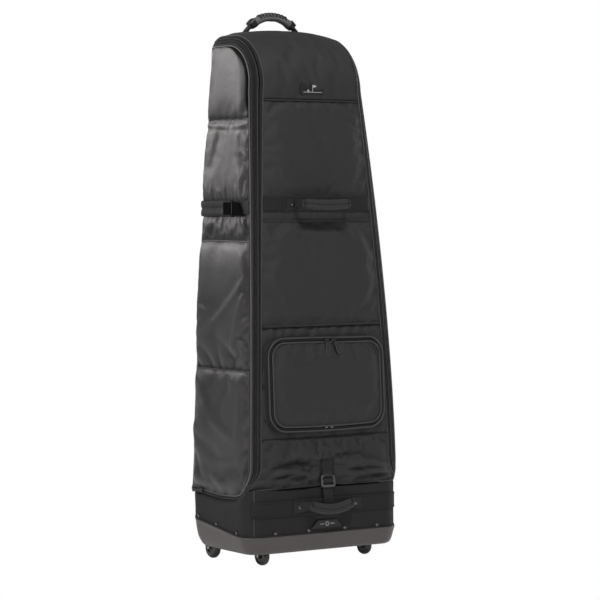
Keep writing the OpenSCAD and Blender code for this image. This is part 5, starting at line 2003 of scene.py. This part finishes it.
# ---------------------------------------------------------------- cinch straps on the sides
# sleeve section, folded along its middle: across, out
SLEEVE = np.array([(-18.8, -1.6), (-19.2, 0.6), (-17.5, 3.0), (-12, 3.7), (-5, 3.0),
                   (-1.2, 1.5), (1.4, 1.6), (6, 3.2), (13, 3.6), (17.6, 2.8), (19.2, 0.4),
                   (18.6, -1.6)])


def build_cinch_sleeve(side, s):
    """Padded sleeve from the back corner forward, bound at its front edge."""
    y = np.concatenate([np.linspace(137.0, 112, 12), np.linspace(108, -6, 30)])
    base = np.stack([side_x(y, STRAP_Z), y, np.full_like(y, STRAP_Z)], 1)
    out = unit(np.cross(tangents(base), np.array(UP)))
    if out[20, 0] < 0:
        out = -out
    path = base + out * 3.2
    path[:, 2] += 0.8 * np.sin(y / 23.0)
    swell = 1 + 0.05 * np.sin(y / 9.0) + 0.03 * np.sin(y / 3.7)
    sleeve = sweep("cinch_sleeve_" + side, flip_x(path, s), flip_x(out, s), SLEEVE, "sleeve",
                   DOOR_BLEND[side], scale=np.stack([np.ones(len(y)), swell], 1), sharp=180)
    stands_for(sleeve, "webbing", "side_strap_" + side)
    x = float(side_x(-6, STRAP_Z)) + 5.4
    path = np.array([(x, -6.5, z) for z in np.linspace(STRAP_Z - 18.5, STRAP_Z + 18.5, 12)])
    sweep("cinch_binding_" + side, flip_x(path, s), (s, 0, 0), circle(1.5, 7), "band",
          "door_" + side)


def build_cinch_web(side, s):
    """Thin webbing running on to the front edge of the door."""
    y = np.linspace(30, float(door_front_y(STRAP_Z)) + 3, 26)
    path = np.stack([side_x(y, STRAP_Z) + 1.4, y, STRAP_Z + 4 * smooth(-20, -90, y)], 1)
    sweep("cinch_web_" + side, flip_x(path, s), (s, 0, 0), rrect(32, 1.8, 0.7, 2), "band",
          "door_" + side)
    for k, dz in enumerate((-13.5, 13.5)):
        row = path + np.array([1.1, 0, dz])
        stitches(f"cinch_thread_{side}{k}", flip_x(row[8:], s), (s, 0, 0), "door_" + side)


def build_cinch_tail(side, s):
    """Hook-and-loop tail with a slanted end, on its own body."""
    body = "strap_tail_" + side
    grid = np.zeros((9, 24, 3))
    for j, t in enumerate(np.linspace(0, 1, 9)):
        y = 28 + (-57 + 15 * t - 28) * np.linspace(0, 1, 24)
        grid[j] = np.stack([side_x(y, STRAP_Z) + 7.6 + 0.3 * np.sin(y / 8.0), y,
                            np.full(24, STRAP_Z - 15.5 + 31 * t)], 1)
    tail = shell("cinch_tail_" + side, flip_x(grid, s), 2.0, "hook", (s, 0, 0), body)
    stands_for(tail, "webbing", body)
    x = float(side_x(-12, STRAP_Z)) + 8.3
    path = np.array([(x, -12.0, z) for z in np.linspace(STRAP_Z - 15, STRAP_Z + 15, 10)])
    sweep("tail_binding_" + side, flip_x(path, s), (s, 0, 0), circle(0.9, 6), "piping", body)


# ---------------------------------------------------------------- rivets
RIVET_R = 4.4
# share of the radius, height
RIVET_PROFILE = ((1, 0.0), (1, 0.35), (0.88, 0.6), (0.72, 0.75), (0.68, 1.1), (0.56, 1.75),
                 (0.34, 2.15), (0, 2.3))


def rivet(place, axis, n=20):
    """Domed cap on a flange, turned about axis."""
    axis = unit(np.asarray(axis, float))
    side = unit(np.cross(np.array([0, 0, 1.0]), axis))
    other = np.cross(axis, side)
    verts = []
    for share, height in RIVET_PROFILE:
        radius = max(RIVET_R * share, 0.01)
        for i in range(n):
            t = 2 * math.pi * i / n
            verts.append(np.asarray(place, float) + axis * height
                         + (side * math.cos(t) + other * math.sin(t)) * radius)
    m = len(RIVET_PROFILE)
    faces = [(j * n + i, j * n + (i + 1) % n, (j + 1) * n + (i + 1) % n, (j + 1) * n + i)
             for j in range(m - 1) for i in range(n)]
    faces += [tuple(range(n))[::-1], tuple((m - 1) * n + i for i in range(n))]
    return make_object("rivet", np.array(verts), faces, "rivet", None, 40)


def build_rivets():
    row = (-149.5, -53, 53, 149.5)
    rim = [rivet((x, -139.2, 82), FRONT) for x in row]
    rim += [rivet((s * 223.6, y, float(tub_rim(y)) + 9), (s, 0, 0))
            for s in (-1, 1) for y in (-81, 10, 92)]
    rim += [rivet((x, 129.2, 108), BACK) for x in row]
    rim = join(rim, "rim_rivet_caps")
    attach(rim, "shell")
    stands_for(rim, "rivet_metal", "rim_rivets")
    caps = [rivet((x, -144.2, 140), FRONT) for x in (-LOWER_RIVET_X, LOWER_RIVET_X)]
    caps += [rivet((x, BAND_Y - 0.6, MID_HANDLE_Z), FRONT) for x in (-MID_RIVET_X, MID_RIVET_X)]
    caps = join(caps, "handle_rivet_caps")
    attach(caps, "shell")
    stands_for(caps, "rivet_metal", "handle_rivets")


# ---------------------------------------------------------------- CAD pieces kept as they are
NODE_MAT = {
    "wheel_housing": "black", "rear_axles": "steel", "rear_wheel": "tread",
    "rear_hub": "black", "caster_cups": "black", "caster_fork": "black",
    "caster_axle": "steel", "caster_wheel": "tread", "base_board": "board",
    "back_stiffener": "board", "top_foam_pad": "foam", "door_slider": "slider",
    "door_pull": "pull",
}
BEVELLED = ("door_slider", "door_pull", "wheel_housing", "caster_fork")


def dress_cad_nodes():
    for name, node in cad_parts.items():
        if node.hide_render:
            continue
        mat = next(M[key] for start, key in NODE_MAT.items() if name.startswith(start))
        node.data.materials.clear()
        node.data.materials.append(mat)
        shade_smooth(node.data, 32)
        if name.startswith(BEVELLED):
            bevel = node.modifiers.new("bevel", "BEVEL")
            bevel.width = 0.0009
            bevel.segments = 2
            bevel.limit_method = "ANGLE"
            bevel.angle_limit = math.radians(40)


# ---------------------------------------------------------------- stage
def camera_only(tree, seen, lit, out):
    """Shows seen to the camera and lights the scene with lit."""
    path = tree.nodes.new("ShaderNodeLightPath")
    mix = tree.nodes.new("ShaderNodeMixShader")
    tree.links.new(path.outputs["Is Camera Ray"], mix.inputs[0])
    tree.links.new(lit, mix.inputs[1])
    tree.links.new(seen, mix.inputs[2])
    tree.links.new(mix.outputs[0], out)


def glow(m, color, strength):
    node = m.node("ShaderNodeEmission")
    node.inputs[0].default_value = (*color, 1)
    node.inputs[1].default_value = strength
    return node.outputs[0]


def build_floor():
    """White to the camera; a softly glowing card to everything else."""
    bpy.ops.mesh.primitive_plane_add(size=30, location=(0, 0, 0))
    floor = bpy.context.object
    floor.name = "floor"
    m = Shader("floor_white")
    cloud = m.noise(m.coords(), 0.6, detail=2, rough=0.5)
    m.set(Base_Color=m.ramp(cloud, (0.3, (0.80, 0.80, 0.80)), (0.7, (0.84, 0.84, 0.84))),
          Roughness=0.8, Specular_IOR_Level=0.1)
    white = glow(m, (1, 1, 1), 1.0)
    add = m.node("ShaderNodeAddShader")
    m.link(m.bsdf.outputs[0], add.inputs[0])
    m.link(glow(m, (1, 0.985, 0.975), 0.26), add.inputs[1])
    camera_only(m.tree, white, add.outputs[0], m.output.inputs[0])
    floor.data.materials.append(m.material)


def build_world():
    world = bpy.data.worlds.new("studio")
    bpy.context.scene.world = world
    world.use_nodes = True
    tree = world.node_tree
    seen = tree.nodes["Background"]
    lit = tree.nodes.new("ShaderNodeBackground")
    for node, strength in ((seen, 1.0), (lit, 0.19)):
        node.inputs[0].default_value = (1, 1, 1, 1)
        node.inputs[1].default_value = strength
    camera_only(tree, seen.outputs[0], lit.outputs[0], tree.nodes["World Output"].inputs[0])
    bpy.context.scene.view_settings.view_transform = "Standard"


def aim(obj, direction):
    obj.rotation_euler = Vector(direction).to_track_quat("-Z", "Y").to_euler()


WARM, WHITE = (1.0, 0.972, 0.965), (1, 1, 1)
# name, place, target, size, power, colour, spread in degrees
LIGHTS = (
    ("card_back_left", (-1.02, 1.22, 1.51), (-0.2, 0.0, 1.03), (1.0, 1.1), 1.31, WARM, 36),
    ("left_soft", (-3.1, -0.4, 0.42), (0, 0, 0.1), (1.4, 0.8), 20, WARM, 180),
    ("front_key", (-1.2, -3.0, 5.2), (0, 0, 0.6), (0.8, 0.8), 170, WHITE, 180),
    ("top_soft", (0.0, -1.9, 3.1), (0, 0, 1.0), (1.2, 1.0), 12, WHITE, 180),
    ("front_fill", (1.6, -4.2, 1.0), (0, 0, 0.5), (2.0, 1.6), 3, WHITE, 180),
    ("back_fill", (0.7, 3.8, 1.7), (0, 0, 0.7), (1.6, 1.6), 22, WHITE, 180),
    ("right_fill", (3.4, 0.6, 1.4), (0, 0, 0.6), (1.4, 1.6), 20, WHITE, 180),
)


def build_lights():
    for name, place, target, size, power, color, spread in LIGHTS:
        light = bpy.data.lights.new(name, "AREA")
        light.spread = math.radians(spread)
        light.energy = power
        light.shape = "RECTANGLE"
        light.size, light.size_y = size
        light.color = color
        obj = bpy.data.objects.new(name, light)
        bpy.context.scene.collection.objects.link(obj)
        obj.location = place
        aim(obj, Vector(target) - Vector(place))


def build_camera():
    camera = bpy.data.cameras.new("camera")
    camera.sensor_width = 36
    camera.lens = 151.57
    camera.clip_end = 60
    obj = bpy.data.objects.new("camera", camera)
    bpy.context.scene.collection.objects.link(obj)
    obj.location = (-3.4689, (-5164.8 + FRAME_Y) / 1000, 0.8935)
    aim(obj, (0.5592, 0.8290, -0.04184))
    bpy.context.scene.camera = obj


# ---------------------------------------------------------------- assembly
for k, (side, s) in enumerate(SIDES):
    face, heights = build_door(side, s, 21 + k)
    build_zip(side, s)
    build_door_seams(side, s, face, heights)
build_front_upper()
build_front_lower()
build_flap()
build_hood()
build_cross_seams()
build_mid_band()
build_back()
build_tub()
for side, s in SIDES:
    build_wheel_hood(side, s)
build_skirt()
build_label()
build_crest()
build_pocket()
build_buckle()
build_carry_handles()
build_top_grip()
build_top_ribs()
for side, s in SIDES:
    build_top_end(side, s)
for side, s in SIDES:
    build_cinch_sleeve(side, s)
    build_cinch_web(side, s)
    build_cinch_tail(side, s)
build_rivets()
dress_cad_nodes()
build_floor()
build_world()
build_lights()
build_camera()
